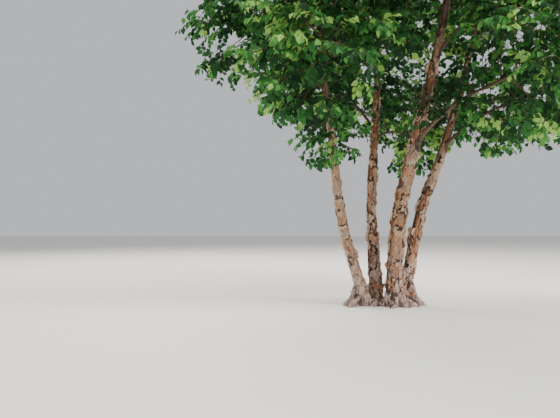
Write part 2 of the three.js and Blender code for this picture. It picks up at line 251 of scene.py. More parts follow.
floor_mesh = bpy.data.meshes.new("floor")
bm = bmesh.new()
bmesh.ops.create_grid(bm, x_segments=1, y_segments=1, size=FLOOR_HALF)
bm.to_mesh(floor_mesh)
bm.free()
floor = linked("floor", floor_mesh)
floor_finish = Finish("floor", roughness=0.9)
floor_finish.wear(paint(226, 224, 219))
floor_mesh.materials.append(floor_finish.material)
print("floor:", 2 * FLOOR_HALF, "m wide")

# %% [markdown]
# ## The rule that the tree grows by
#
# The solids were grown by a rule: four leaning stems, boughs that climb from them into separate spaces of
# foliage, and twigs that spiral round one stem in each space. The same rule is written again here, in
# metres and with the same repeatable numbers, so the fine twigs start exactly where the solid's coarse ones
# do and end within their reach.

# %% Sizes of the tree
STEMS = {
    "left": {"base": 0.050, "tip": 0.008, "path": [
        (-0.173, -0.020, 0), (-0.293, -0.045, 0.400), (-0.397, -0.090, 0.765),
        (-0.471, -0.160, 1.308), (-0.629, -0.320, 2.560), (-0.800, -0.500, 4.100)]},
    "back": {"base": 0.058, "tip": 0.008, "path": [
        (-0.070, 0.070, 0), (-0.088, 0.095, 0.390), (-0.099, 0.170, 0.950),
        (-0.071, 0.250, 1.346), (0, 0.450, 2.240), (0.070, 0.840, 4.300)]},
    "main": {"base": 0.080, "tip": 0.010, "path": [
        (0.072, -0.060, 0), (0.082, -0.075, 0.400), (0.119, -0.120, 0.897),
        (0.206, -0.180, 1.307), (0.454, -0.420, 2.560), (0.670, -0.550, 4.760)]},
    "right": {"base": 0.062, "tip": 0.008, "path": [
        (0.168, 0.060, 0), (0.239, 0.075, 0.392), (0.360, 0.110, 0.903),
        (0.529, 0.150, 1.337), (0.850, 0.280, 2.354), (1.300, 0.500, 4.400)]},
}
STEM_BELOW = 0.12
STEM_TAPER = 1.4
STEM_MARKS = 4001
FLARE_EXTRA = 0.3
FLARE_HEIGHT = 0.12
JOINT_GAP = 0.0003

CROWN_AXIS = (0.33, 0.06)
CROWN_WAIST = 3.15
CROWN_REACH = 2.35
CROWN_ABOVE = 3.08
CROWN_BELOW = 1.75
CROWN_ROUNDNESS = 2.3

# Each tier has the size of its masses, then a bearing and a height for each of them.
TIERS = [
    (0.83, [(352, 2.08), (38, 2.12), (84, 2.18), (130, 2.32), (176, 2.60), (222, 2.20), (306, 2.10)]),
    (0.86, [(20, 3.15), (71, 3.25), (123, 3.30), (174, 3.45), (226, 3.35), (277, 3.25), (329, 3.15)]),
    (0.82, [(66, 4.30), (156, 4.35), (252, 4.35), (340, 4.25)]),
]
TOP_RISE = 0.52
TOP_SIZE = {"left": 0.85, "back": 0.85, "main": 0.98, "right": 0.90}
# Each inner spray has its stem, its foot's height, and its bearing, distance and size.
INNER_SPRAYS = [
    ("left", 1.50, 262, 0.33, 0.43),
    ("back", 1.52, 25, 0.33, 0.48),
    ("main", 2.70, 150, 0.56, 0.72),
    ("back", 3.50, 318, 0.56, 0.72),
    ("main", 4.30, 128, 0.56, 0.76),
]
INNER_RISE = 0.15
INNER_CLIMB = 0.9

CLIMB = 0.8
LOWEST_BOUGH = 1.43
BOUGH_SPACING = 0.12
BOUGH_STEP = 0.02
ENTRY = 0.6
ENTRY_MOST = 0.7
BOUGH_SHARE = 0.42
BOUGH_TIP = 0.012
BOUGH_LEAST = BOUGH_TIP + 0.003
BOUGH_ARCH = 0.16

FLATNESS = 0.88
SPINE_FOOT = {"bough": BOUGH_TIP + 0.002, "top": 0.012, "inner": 0.012}
SPINE_DROOP = {"bough": 0.22, "top": -0.02, "inner": 0.2}
TWIGS_PER_METRE = 7.2
TWIG_ANGLE_LOW = 82
TWIG_ANGLE_HIGH = 42
TWIG_ANGLE_CHANCE = 16
TWIGS_FROM = 0.14
TWIGS_OVER = 0.8
TWIG_SHIFT = 0.6
GOLDEN_ANGLE = 137.508
GOLDEN_CHANCE = 30
LEAF_SHARE = 0.56
CELL_MARGIN = 0.005
LIMB_MARGIN = 0.012


# %% Repeatable numbers, turns and curves
def seeded(seed):
    """The source's own repeatable numbers from 0 to 1 (a Park-Miller generator)."""
    state = (seed * 9973) % 2147483647

    def draw():
        nonlocal state
        state = (state * 48271) % 2147483647
        return state / 2147483647

    return draw


UP = np.array([0.0, 0.0, 1.0])


def unit(v):
    return v / np.linalg.norm(v, axis=-1, keepdims=True)


def turned(v, axis, angle):
    """v turned about a unit axis. All three may be rows of many."""
    c = np.asarray(np.cos(angle))[..., None]
    s = np.asarray(np.sin(angle))[..., None]
    along = np.sum(v * axis, axis=-1, keepdims=True)
    return v * c + np.cross(axis, v) * s + axis * along * (1 - c)


def upward(heading):
    """A unit vector across a heading, as near upright as it can be."""
    return unit(np.cross(np.cross(heading, UP), heading))


def bearing_vector(bearing):
    return np.array([cos(radians(bearing)), sin(radians(bearing)), 0.0])


class Curve:
    """A curve that is walked by its own length, from 0 to 1."""

    PIECES = 200
    NUDGE = 1e-4

    def __init__(self, point):
        self.point = point
        self.marks = np.linspace(0, 1, self.PIECES + 1)
        steps = np.linalg.norm(np.diff(point(self.marks), axis=0), axis=1)
        self.run = np.concatenate([[0.0], np.cumsum(steps)])
        self.length = self.run[-1]

    def mark(self, along):
        return np.interp(np.asarray(along) * self.length, self.run, self.marks)

    def at(self, along):
        return self.point(self.mark(along))

    def heading(self, along):
        mark = self.mark(along)
        behind = self.point(np.clip(mark - self.NUDGE, 0, 1))
        ahead = self.point(np.clip(mark + self.NUDGE, 0, 1))
        return unit(ahead - behind)


def bent(start, knee, end):
    """A curve from start to end, drawn towards a knee."""

    def point(t):
        t = np.asarray(t)[..., None]
        return start * (1 - t) ** 2 + knee * 2 * t * (1 - t) + end * t**2

    return Curve(point)


def through(points):
    """A smooth curve through points, with each stretch timed by the root of its length."""
    held = np.array([2 * points[0] - points[1], *points, 2 * points[-1] - points[-2]])

    def point(t):
        t = np.asarray(t) * (len(points) - 1)
        i = np.minimum(t.astype(int), len(points) - 2)
        w = (t - i)[..., None]
        near = [held[i + k] for k in range(4)]
        p0, p1, p2, p3 = near
        d0, d1, d2 = (np.sqrt(np.linalg.norm(b - a, axis=-1, keepdims=True)) for a, b in zip(near, near[1:]))
        out = ((p1 - p0) / d0 - (p2 - p0) / (d0 + d1) + (p2 - p1) / d1) * d1
        into = ((p2 - p1) / d1 - (p3 - p1) / (d1 + d2) + (p3 - p2) / d2) * d1
        return p1 + out * w + (3 * (p2 - p1) - 2 * out - into) * w**2 + (2 * (p1 - p2) + out + into) * w**3

    return Curve(point)


# %% Stems
class Stem:
    """A stem's centreline and its radius along it."""

    def __init__(self, name, base, tip, path):
        self.name = name
        self.base = base
        self.tip = tip
        points = [np.array(p, float) for p in path]
        start = points[0] - (points[1] - points[0]) * STEM_BELOW
        self.curve = through([start, *points])
        self.steps = np.linspace(0, 1, STEM_MARKS)
        self.heights = self.curve.at(self.steps)[:, 2]

    def radius(self, along):
        height = np.maximum(np.interp(along, self.steps, self.heights), 0)
        swell = self.base * FLARE_EXTRA * np.exp(-height / FLARE_HEIGHT)
        return self.tip + (self.base - self.tip) * (1 - np.asarray(along)) ** STEM_TAPER + swell

    def along_at(self, height):
        return float(np.interp(height, self.heights, self.steps))

    def place_at(self, height):
        return self.curve.at(self.along_at(height))

    def radius_at(self, height):
        return float(self.radius(self.along_at(height)))


stems = [Stem(name, **sizes) for name, sizes in STEMS.items()]
stem_named = {stem.name: stem for stem in stems}
print("stems:", {stem.name: round(float(stem.curve.length), 2) for stem in stems})


# %% Boughs, and the spaces of foliage that they carry
class Bough:
    """A limb that climbs from a stem to where it enters its foliage."""

    def __init__(self, name, stem, height, centre, size):
        self.name = name
        self.stem = stem
        self.height = height
        self.start = stem.place_at(height)
        share = min(ENTRY * size / np.linalg.norm(centre - self.start), ENTRY_MOST)
        end = centre + (self.start - centre) * share
        knee = (self.start + end) / 2 + UP * BOUGH_ARCH * np.linalg.norm(end - self.start)
        self.curve = bent(self.start, knee, end)
        self.base = max(BOUGH_SHARE * stem.radius_at(height), BOUGH_LEAST)

    def radius(self, along):
        return self.base + (BOUGH_TIP - self.base) * np.asarray(along)


class Mass:
    """A flattened ball of foliage, grown from a foot, and walled off from its neighbours."""

    def __init__(self, name, kind, centre, size, foot, heading):
        self.name = name
        self.centre = centre
        self.size = size
        self.foot = foot
        self.heading = heading
        self.foot_radius = SPINE_FOOT[kind]
        self.droop = SPINE_DROOP[kind]

    def raise_walls(self, masses):
        near = [m for m in masses if m is not self and np.linalg.norm(m.centre - self.centre) < 2 * self.size]
        power = self.centre @ self.centre - self.size**2
        self.away = np.array([m.centre - self.centre for m in near]).reshape(-1, 3)
        powers = np.array([m.centre @ m.centre - m.size**2 for m in near])
        self.limits = (powers - power) / 2 - CELL_MARGIN * np.linalg.norm(self.away, axis=1)

    def holds(self, points, share=1.0):
        """Which of these points are in the space, or in a share of its ball."""
        offset = (points - self.centre) / np.array([1, 1, FLATNESS])
        in_ball = np.linalg.norm(offset, axis=-1) <= self.size * share
        return in_ball & np.all(points @ self.away.T <= self.limits, axis=-1)

    def room(self, origin, direction):
        """How far a ray runs before it leaves the ball or meets a wall."""
        squash = np.array([1, 1, 1 / FLATNESS])
        start = (origin - self.centre) * squash
        way = direction * squash
        a, b, c = way @ way, start @ way, start @ start - self.size**2
        to_shell = (-b + sqrt(max(b * b - a * c, 0))) / a
        closing = self.away @ direction
        ahead = closing > 0
        to_walls = (self.limits[ahead] - self.away[ahead] @ origin) / closing[ahead]
        return min([to_shell, *to_walls])


def crown_reach(height):
    rise = height - CROWN_WAIST
    share = min(abs(rise) / (CROWN_ABOVE if rise > 0 else CROWN_BELOW), 1)
    return CROWN_REACH * (1 - share**CROWN_ROUNDNESS) ** (1 / CROWN_ROUNDNESS)


def nearest_stem(centre, size):
    best = None
    for stem in stems:
        beside = stem.place_at(centre[2] - CLIMB * size)
        run = hypot(centre[0] - beside[0], centre[1] - beside[1])
        if best is None or run < best[1]:
            best = (stem, run)
    return best


def beyond_end(curve):
    """A place just beyond a curve's end, and the heading there."""
    heading = curve.heading(1.0)
    return curve.at(1.0) + heading * JOINT_GAP, heading


boughs = []
masses = []
for size, places in TIERS:
    for bearing, height in places:
        centre = np.array([*CROWN_AXIS, height]) + bearing_vector(bearing) * (crown_reach(height) - size)
        stem, run = nearest_stem(centre, size)
        leaves_at = max(centre[2] - CLIMB * run, LOWEST_BOUGH)
        while any(b.stem is stem and abs(b.height - leaves_at) < BOUGH_SPACING for b in boughs):
            leaves_at += BOUGH_STEP
        number = sum(b.stem is stem for b in boughs) + 1
        bough = Bough(f"bough_{stem.name}_{number}", stem, leaves_at, centre, size)
        boughs.append(bough)
        foot, heading = beyond_end(bough.curve)
        masses.append(Mass(f"foliage_{stem.name}_{number}", "bough", centre, size, foot, heading))

for stem in stems:
    foot, heading = beyond_end(stem.curve)
    size = TOP_SIZE[stem.name]
    masses.append(Mass(f"foliage_{stem.name}_top", "top", foot + UP * TOP_RISE * size, size, foot, heading))

for number, (stem_name, height, bearing, distance, size) in enumerate(INNER_SPRAYS, start=1):
    stem = stem_named[stem_name]
    foot = stem.place_at(height)
    way = bearing_vector(bearing)
    centre = foot + way * distance + UP * INNER_RISE * distance
    masses.append(Mass(f"foliage_inner_{number}", "inner", centre, size, foot, unit(way + UP * INNER_CLIMB)))

for mass in masses:
    mass.raise_walls(masses)
print(len(boughs), "boughs,", len(masses), "masses of foliage")

# %% [markdown]
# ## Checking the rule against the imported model
#
# If the rule were copied wrongly, twigs would start in mid-air. So each bough's end is compared with the
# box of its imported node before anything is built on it.

# %% The rule against the nodes
worst = 0
for bough in boughs:
    low, high = (np.array(corner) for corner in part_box(bough.name))
    end = bough.curve.at(1.0)
    worst = max(worst, float(np.max(np.maximum(low - end, end - high))))
print("furthest that a bough's end lies outside its node's box:", round(worst * 1000, 2), "mm")


# %% Keeping clear of the limbs
def limb_segments(limb, count=24):
    along = np.linspace(0, 1, count + 1)
    places = limb.curve.at(along)
    return places[:-1], places[1:], limb.radius(along[:-1])


segments = [np.concatenate(parts) for parts in zip(*(limb_segments(limb) for limb in [*stems, *boughs]))]


def clear_of_limbs(points, margin=LIMB_MARGIN):
    """Which of these points are clear of every stem and bough by a margin."""
    clear = np.ones(len(points), bool)
    for start, end, radius in zip(*segments):
        box_low = np.minimum(start, end) - radius - margin
        box_high = np.maximum(start, end) + radius + margin
        near = np.flatnonzero(clear & np.all((points > box_low) & (points < box_high), axis=1))
        if len(near) == 0:
            continue
        way = end - start
        t = np.clip((points[near] - start) @ way / (way @ way), 0, 1)
        gap = np.linalg.norm(points[near] - start - t[:, None] * way, axis=1)
        clear[near[gap < radius + margin]] = False
    return clear


# %% [markdown]
# ## Limbs as rolled grids
#
# A limb is a flat grid of squares rolled up round its centreline, its seam merged and its ends closed. That
# keeps the squares even and lets each corner be pushed in or out, which a swept curve with a round section
# wouldn't do.

# %% Rolling a grid
SAME_PLACE = 1e-5


def roll_grid(bm, curve, along, sides, place_corner):
    """Rolls a grid round a curve. place_corner sets a corner from its ring, angle, centre and radial."""
    centres, headings = curve.at(along), curve.heading(along)
    beside = np.eye(3)[np.abs(headings).max(axis=0).argmin()]
    across = unit(np.cross(headings, beside))
    around = np.cross(headings, across)
    rings = len(along)
    grid = bmesh.ops.create_grid(bm, x_segments=sides, y_segments=rings - 1, size=0.5)
    for corner in grid["verts"]:
        ring = round((corner.co.y + 0.5) * (rings - 1))
        angle = (corner.co.x + 0.5) * 2 * pi
        radial = cos(angle) * across[ring] + sin(angle) * around[ring]
        place_corner(corner, ring, angle, centres[ring], radial)


def roll_tube(bm, curve, along, sides, radii):
    """A plain tube round a curve, with a radius for each ring."""

    def place_corner(corner, ring, angle, centre, radial):
        corner.co = centre + radial * radii[ring]

    roll_grid(bm, curve, along, sides, place_corner)


def close_and_face_out(bm):
    bmesh.ops.remove_doubles(bm, verts=bm.verts, dist=SAME_PLACE)
    bmesh.ops.holes_fill(bm, edges=[edge for edge in bm.edges if edge.is_boundary])
    bmesh.ops.recalc_face_normals(bm, faces=bm.faces)


def finished_mesh(bm, name):
    mesh = bpy.data.meshes.new(name)
    bm.to_mesh(mesh)
    bm.free()
    mesh.shade_smooth()
    return mesh


# %% [markdown]
# ## Many small things
#
# Curls, twigs and leaves are too many to shape one at a time, so they are laid out as whole arrays of
# numbers and turned into one joined mesh at the end.

# %% A joined mesh from arrays
def new_piece(name, mesh, nodes, finish):
    """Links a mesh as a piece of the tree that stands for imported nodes."""
    piece = linked(name, mesh)
    mesh.materials.append(finish.material)
    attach(piece, "root")
    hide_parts(*nodes)
    print(f"{name}: {len(mesh.polygons)} faces")


def mesh_from_arrays(name, corners, faces, smooth=False):
    """A mesh from corners (n, 3) and a list of face arrays (m, corners to a face)."""
    mesh = bpy.data.meshes.new(name)
    sizes = np.concatenate([np.full(len(f), f.shape[1], np.int32) for f in faces])
    loops = np.concatenate([f.ravel() for f in faces]).astype(np.int32)
    starts = np.concatenate([[0], np.cumsum(sizes)[:-1]]).astype(np.int32)
    mesh.vertices.add(len(corners))
    mesh.vertices.foreach_set("co", np.ascontiguousarray(corners, np.float32).ravel())
    mesh.loops.add(len(loops))
    mesh.loops.foreach_set("vertex_index", loops)
    mesh.polygons.add(len(sizes))
    mesh.polygons.foreach_set("loop_start", starts)
    mesh.polygons.foreach_set("use_smooth", np.full(len(sizes), smooth))
    mesh.update(calc_edges=True)
    return mesh


NEARLY_UPRIGHT = 0.9


def tube_arrays(places, radii, sides):
    """Closed tubes, all with the same count of rings: places (n, rings, 3) and radii (n, rings)."""
    count, rings = radii.shape
    way = unit(np.gradient(places, axis=1))
    upright = np.abs(way[:, :1, 2:]) > NEARLY_UPRIGHT
    beside = np.where(upright, np.array([1.0, 0, 0]), UP)
    across = unit(np.cross(way, beside))
    around = np.cross(way, across)
    angle = np.arange(sides) * 2 * pi / sides
    rim = np.cos(angle)[:, None] * across[:, :, None, :] + np.sin(angle)[:, None] * around[:, :, None, :]
    corners = places[:, :, None, :] + radii[:, :, None, None] * rim
    index = np.arange(count * rings * sides).reshape(count, rings, sides)
    after = np.roll(index, -1, axis=2)
    walls = np.stack([index[:, :-1], after[:, :-1], after[:, 1:], index[:, 1:]], axis=-1)
    ends = [index[:, 0, ::-1], index[:, -1]]
    return corners.reshape(-1, 3), [walls.reshape(-1, 4), *ends]


def joined(parts):
    """Several (corners, faces) as one, with faces of each size kept together."""
    offset = 0
    corners, faces = [], []
    for some_corners, some_faces in parts:
        corners.append(some_corners)
        faces.extend(f + offset for f in some_faces)
        offset += len(some_corners)
    return np.concatenate(corners), faces


# %% [markdown]
# ## Bark that peels
#
# A young river birch sheds its bark in papery sheets, layer under layer. The outermost is pale, salmon to
# cream; under it lie tan, then cinnamon, and last a dark red-brown. Where an outer sheet ends, its edge
# curls up; the shadow that it throws on the layer below is painted in as a dark line, and the curled edge
# is painted paler as a highlight. Carving that by hand would take days, so a Voronoi pattern stretched up
# the stem deals out the sheets. Each draws its layer, in zones so that some parts of a stem are peeled and
# others whole, and near an edge it is compared with the next sheet to tell which of the two curls. Belts of
# torn bark run round the stem as well, each a painted shadow beside a paler curled rim. On the side of a
# stem away from the key light the layers are deeper and darker: painted shade, with the older bark that a
# shady side keeps. The height goes into the mesh, and the same numbers are kept as attributes, so that the
# colours land on the relief.

# %% The pattern of bark sheets
BARK_SEED = 7
SHEET_WIDTH = 0.08
SHEET_HEIGHT = 0.118
WARP = 0.45
WARP_GRAIN = 1.7
FINE_WARP = 0.35
FINE_WARP_GRAIN = 5.1
ZONE_WIDE = 4.2
ZONE_HIGH = 1.5
LAYER_MEAN = {"left": 0.80, "back": 0.60, "main": 0.60, "right": 0.58}
LAYER_VARIETY = {"left": 0.70, "back": 1.0, "main": 1.0, "right": 1.0}
LAYER_SPREAD = 0.36
LAYER_GRAIN = 5.7
LAYER_MOST = 1.15
LAYER_MIDDLE = 0.75
ZONE_SPREAD = 0.95
# The side away from the key light draws deeper, darker layers: painted shade, with the older bark that a
# shady side keeps.
SHADY_SIDE = np.array([-0.95, 0.3, 0])
PAINTED_SHADE_DROP = {"left": 0.10, "back": 0.20, "main": 0.50, "right": 0.70}
BELT_SCALE = Vector((0.3, 0.3, 0.62))
BELT_ZONES = 0.37
LAYER_DEPTH = 0.009
CURL_RISE = 0.008
TEAR_DEPTH = 0.004
EDGE = 0.32
TEAR = 0.26
CRACK = 0.1
CRACK_GRAIN = 0.9
FINE_RELIEF = 0.0012
FINE_GRAIN = 6
SMOOTH_FROM = 1.2
SMOOTH_BY = 2.2
SMOOTH_RELIEF = 0.25


def ramp(value, low, high):
    t = min(max((value - low) / (high - low), 0), 1)
    return t * t * (3 - 2 * t)


# Without a seed of its own, noise_vector takes the clock's, and the bark would change from run to run.
noise.seed_set(BARK_SEED)


def layer_of(seat, mean, variety):
    """The layer that a sheet shows: 1 is the pale outer bark, 0 the dark bark deepest under it."""
    zone = noise.noise(Vector((seat.x / ZONE_WIDE, seat.y / ZONE_WIDE, seat.z / ZONE_HIGH)))
    drawn = mean + variety * (LAYER_SPREAD * noise.cell(seat * LAYER_GRAIN) + ZONE_SPREAD * zone)
    return min(max(drawn, 0), LAYER_MOST)


def bark_at(around, height, offset, mean, variety):
    """The bark's height in metres, and its layer, curl and tear from 0 to 1, at a place on a stem.
    The curl carries a painted highlight and the tear a painted shadow.
    """
    spot = Vector((around[0] / SHEET_WIDTH, around[1] / SHEET_WIDTH, height / SHEET_HEIGHT)) + offset
    coarse_warp = noise.noise_vector(spot * WARP_GRAIN) * WARP
    spot = spot + coarse_warp + noise.noise_vector(spot * FINE_WARP_GRAIN) * WARP * FINE_WARP
    distances, seats = noise.voronoi(spot)
    own, other = (layer_of(seat, mean, variety) for seat in seats[:2])
    inside = distances[1] - distances[0]
    # Painted highlight: the curled edge of an outer sheet is painted palest.
    curl = (1 - ramp(inside, 0, EDGE)) * ramp(own - other, 0.03, 0.35)
    # Painted shadow: a dark line on the sheet just below an outer sheet's curled edge.
    tear = (1 - ramp(inside, 0, TEAR)) * ramp(other - own, 0.03, 0.3)
    crack = (1 - ramp(inside, 0, CRACK)) * ramp(noise.noise(spot * CRACK_GRAIN), -0.2, 0.2)
    band = noise.noise(spot * BELT_SCALE)
    belted = ramp(noise.noise(spot * BELT_ZONES), 0.05, 0.25)
    belt = (1 - ramp(abs(band), 0.0, 0.07)) * belted
    curl = max(curl, ramp(band, 0.05, 0.09) * (1 - ramp(band, 0.12, 0.2)) * belted)
    # Cracks and belts join the tear: painted shade in the cracks, painted shadow beside the belts' curled
    # rims.
    tear = max(tear, 0.8 * crack, belt)
    fine = noise.fractal(spot * FINE_GRAIN, 0.7, 2.1, 3)
    level = LAYER_DEPTH * (own - LAYER_MIDDLE) + CURL_RISE * curl - TEAR_DEPTH * tear + FINE_RELIEF * fine
    rough = 1 + (SMOOTH_RELIEF - 1) * ramp(height, SMOOTH_FROM, SMOOTH_BY)
    return level * rough, own, curl, tear


# %% Stems: grids rolled round their centrelines
AROUND = 88
BARK_MARKS = ("layer", "curl", "tear", "smoke")
FINE_RING = 0.0085
COARSE_RING = 0.02
FINE_TO = 2.5
PATTERN_STEP = (17.3, 9.1, 31.7)
LOBES = (0.03, 0.02)
LOBE_TWIST = 2.3
SMOKE_WIDE = 1.3
SMOKE_HIGH = 0.1
BROW_TOP = 0.35
BROW_SLOPE = 1.15


def ring_places(stem):
    """Places of the rings along a stem: close together where the bark is rough, wider apart above."""
    low = stem.along_at(0)
    middle = stem.along_at(FINE_TO)
    fine = int((middle - low) * stem.curve.length / FINE_RING)
    coarse = int((1 - middle) * stem.curve.length / COARSE_RING)
    return np.concatenate([np.linspace(low, middle, fine, endpoint=False), np.linspace(middle, 1, coarse)])


def collars(stem):
    """Where boughs leave a stem's surface, and the radius of the stem there."""
    found = []
    for bough in boughs:
        if bough.stem is stem:
            way = bough.curve.heading(0.0) * np.array([1, 1, 0])
            radius = stem.radius_at(bough.height)
            found.append((bough.start + unit(way) * radius, radius))
    return found


def smoke_at(place, marks):
    """How dark the bark is near the foot of a bough: a smoky patch, and a dark brow that hangs from it."""
    smoke = 0
    for foot, radius in marks:
        offset = place - foot
        beside = hypot(offset[0], offset[1]) / (radius * SMOKE_WIDE)
        rise = offset[2] / SMOKE_HIGH
        patch = 1 - ramp(hypot(beside, rise), 0.5, 1.25)
        brow = (1 - ramp(abs(rise - BROW_TOP + BROW_SLOPE * beside), 0, 0.3)) * (1 - ramp(beside, 0.8, 1.7))
        smoke = max(smoke, patch, brow)
    return smoke


def bark_layers(bm):
    return [bm.verts.layers.float.new(mark) for mark in BARK_MARKS]


def rolled_stem(stem, number):
    along = ring_places(stem)
    radii = stem.radius(along)
    offset = Vector([step * number for step in PATTERN_STEP])
    marks = collars(stem)
    bm = bmesh.new()
    layers = bark_layers(bm)

    def place_corner(corner, ring, angle, centre, radial):
        radius = radii[ring]
        place = centre + radial * radius
        lobes = LOBES[0] * sin(3 * angle + number) + LOBES[1] * sin(2 * angle + place[2] * LOBE_TWIST)
        # Painted shade: the layers sink towards the dark ones on the side away from the key light.
        mean = LAYER_MEAN[stem.name] - PAINTED_SHADE_DROP[stem.name] * ramp(radial @ SHADY_SIDE, 0.1, 0.8)
        height, *values = bark_at(radial * radius, place[2], offset, mean, LAYER_VARIETY[stem.name])
        corner.co = place + radial * (radius * lobes + height)
        corner.co.z = max(corner.co.z, 0)
        for layer, value in zip(layers, (*values, smoke_at(place, marks))):
            corner[layer] = value

    roll_grid(bm, stem.curve, along, AROUND, place_corner)
    close_and_face_out(bm)
    return finished_mesh(bm, f"stem_{stem.name}_bark")


# %% [markdown]
# The colours follow the same layers, as washes laid one over another. Low down the oldest sheets turn a
# mottled purple-grey, and higher up the stems are a smoother tan with short dark cross-lines, the pores
# that let the bark breathe. The darkest wash is painted shadow under curled edges and painted shade in the
# cracks, and the palest is a painted highlight on the curled edges.

# %% The bark's finish
BARK_SHADES = [
    (0.0, paint(74, 48, 38)), (0.16, paint(118, 74, 52)), (0.3, paint(156, 100, 62)),
    (0.46, paint(154, 112, 82)), (0.66, paint(168, 133, 105)), (0.86, paint(194, 166, 138)),
    (1.0, paint(170, 143, 121)),
]
FLAKE_SCALE = (46, 46, 22)
UNSCALED = (1, 1, 1)


def bark_finish(name):
    finish = Finish(name)
    step, grain = finish.step, finish.grain
    layer, curl, tear, smoke = (finish.attribute(mark) for mark in BARK_MARKS)
    height = finish.add("ShaderNodeSeparateXYZ", values={0: finish.place(UNSCALED)}, output="Z")
    streaks = grain((70, 70, 13), detail=4, roughness=0.65)
    blots = grain((24, 24, 10), detail=4, roughness=0.6, distortion=0.7)
    warped = finish.add("ShaderNodeVectorMath", {"operation": "MULTIPLY_ADD"},
                        {0: finish.place(UNSCALED), 1: FLAKE_SCALE, 2: finish.wobble((30, 30, 14))})
    flakes = finish.add("ShaderNodeTexVoronoi", values={"Vector": warped, "Scale": 1.0}, output="Color")
    flakes = finish.add("ShaderNodeSeparateXYZ", values={0: flakes}, output="X")
    to_edge = {"feature": "DISTANCE_TO_EDGE"}
    cracks = finish.add("ShaderNodeTexVoronoi", to_edge, {"Vector": warped, "Scale": 1.0})

    cracked = (1 - step(cracks, 0.02, 0.09)) * step(streaks, 0.4, 0.6)
    warm = step(grain((8, 8, 5.5), detail=2, roughness=0.6), 0.5, 0.6) * step(layer, 0.25, 0.5)
    smooth = step(height, 1.15, 2.1) * step(layer, 0.12, 0.45)
    tan = finish.mix(step(blots, 0.3, 0.7), paint(146, 118, 92), paint(100, 75, 58))
    old = step(blots + (0.42 - height) * 0.3, 0.45, 0.58) * (1 - step(height, 0.3, 1.0))
    mottle = step(grain((46, 46, 26), detail=4, roughness=0.65), 0.4, 0.62)
    grey = finish.mix(mottle, paint(172, 152, 146), paint(74, 60, 62))
    pores = step(grain((24, 24, 200), detail=1, roughness=0.4), 0.64, 0.7) * step(height, 0.5, 2.0)
    # The darkest wash: painted shadow under curled edges and belts, and painted shade in the cracks.
    torn_and_shadowed = step(tear + (streaks - 0.5) * 0.55, 0.2, 0.6) * (1 - step(height, 1.2, 2.2) * 0.35)
    smoky = step(smoke + (streaks - 0.5) * 0.7, 0.4, 0.85)
    colour = finish.washed(
        finish.shades(layer + (blots - 0.5) * 0.4 + (flakes - 0.5) * 0.14, BARK_SHADES),
        (step(streaks, 0.42, 0.72), 0.5, paint(112, 74, 57)),
        (cracked, 0.4, paint(84, 54, 42)),
        (warm, 0.55, paint(178, 120, 80)),
        (smooth, 0.85, tan),
        (old, 0.85, grey),
        # painted highlight on curled edges
        (curl, 0.5, paint(230, 206, 184)),
        (pores, 0.65, paint(60, 41, 33)),
        # painted shadow and shade
        (torn_and_shadowed, 0.92, paint(50, 31, 26)),
        (smoky, 0.85, paint(54, 37, 31)),
    )
    relief = streaks * 0.6 + grain((160, 160, 60)) * 0.4 + step(cracks, 0.0, 0.12) * 0.5
    finish.wear(colour, roughness=0.72 + blots * 0.22, relief=relief, depth=0.0016)
    return finish


bark = bark_finish("peeling_bark")
for number, stem in enumerate(stems, start=1):
    new_piece(f"stem_{stem.name}_bark", rolled_stem(stem, number), [f"stem_{stem.name}"], bark)

# %% [markdown]
# ## Curls of loose bark
#
# The ragged outline of the stems comes from curls: thin sheets still held along one edge, rolled back from
# the stem. Each one is a small sheet whose section is an arc that leaves the bark along its surface and
# rolls outwards, with an uneven free edge that dies out at both ends. Most are slivers that peel sideways,
# some peel downwards, and a few are as wide as a hand. They are dealt in bunches on the lower stems and
# stop where the bark turns smooth. One big curl hangs at the foot of the back stem.

# %% Curls
CURL_SEED = 40
CURL_ROWS = 5
CURL_COLUMNS = 7
CURLS_PER_METRE = 95
CURLS_FOR_RADIUS = 8
CURLS_LOW = 0.05
CURLS_TOP = 2.1
CURLS_LOWER = 1.2
CURLS_TO_A_BUNCH = 5
BUNCH_SPREAD = 0.06
DOWNWARD_SHARE = 0.12
PEEL_TILT = 0.18
BIG_RARITY = 3.5
DOWNWARD_BIG = 0.25
CURL_LENGTH = {"least": 0.011, "big": 0.030, "chance": 0.010}
CURL_WIDTH = {"least": 0.016, "big": 0.085, "chance": 0.028}
CURL_BEND = {"least": 0.010, "big": 0, "chance": 0.020}
CURL_MOST_ROLL = 2.4
CURL_END_ROUNDNESS = 2.5
CURL_END_LOSS = 0.85
CURL_ROOT_DEPTH = 0.0015
CURL_LOWEST = 0.002
FOOT_CURL = {"stem": "back", "height": 0.185, "facing": np.array([0.45, -0.89, 0]), "tone": 0.62}
FOOT_CURL_SIZES = (0.085, 0.15, 0.058)


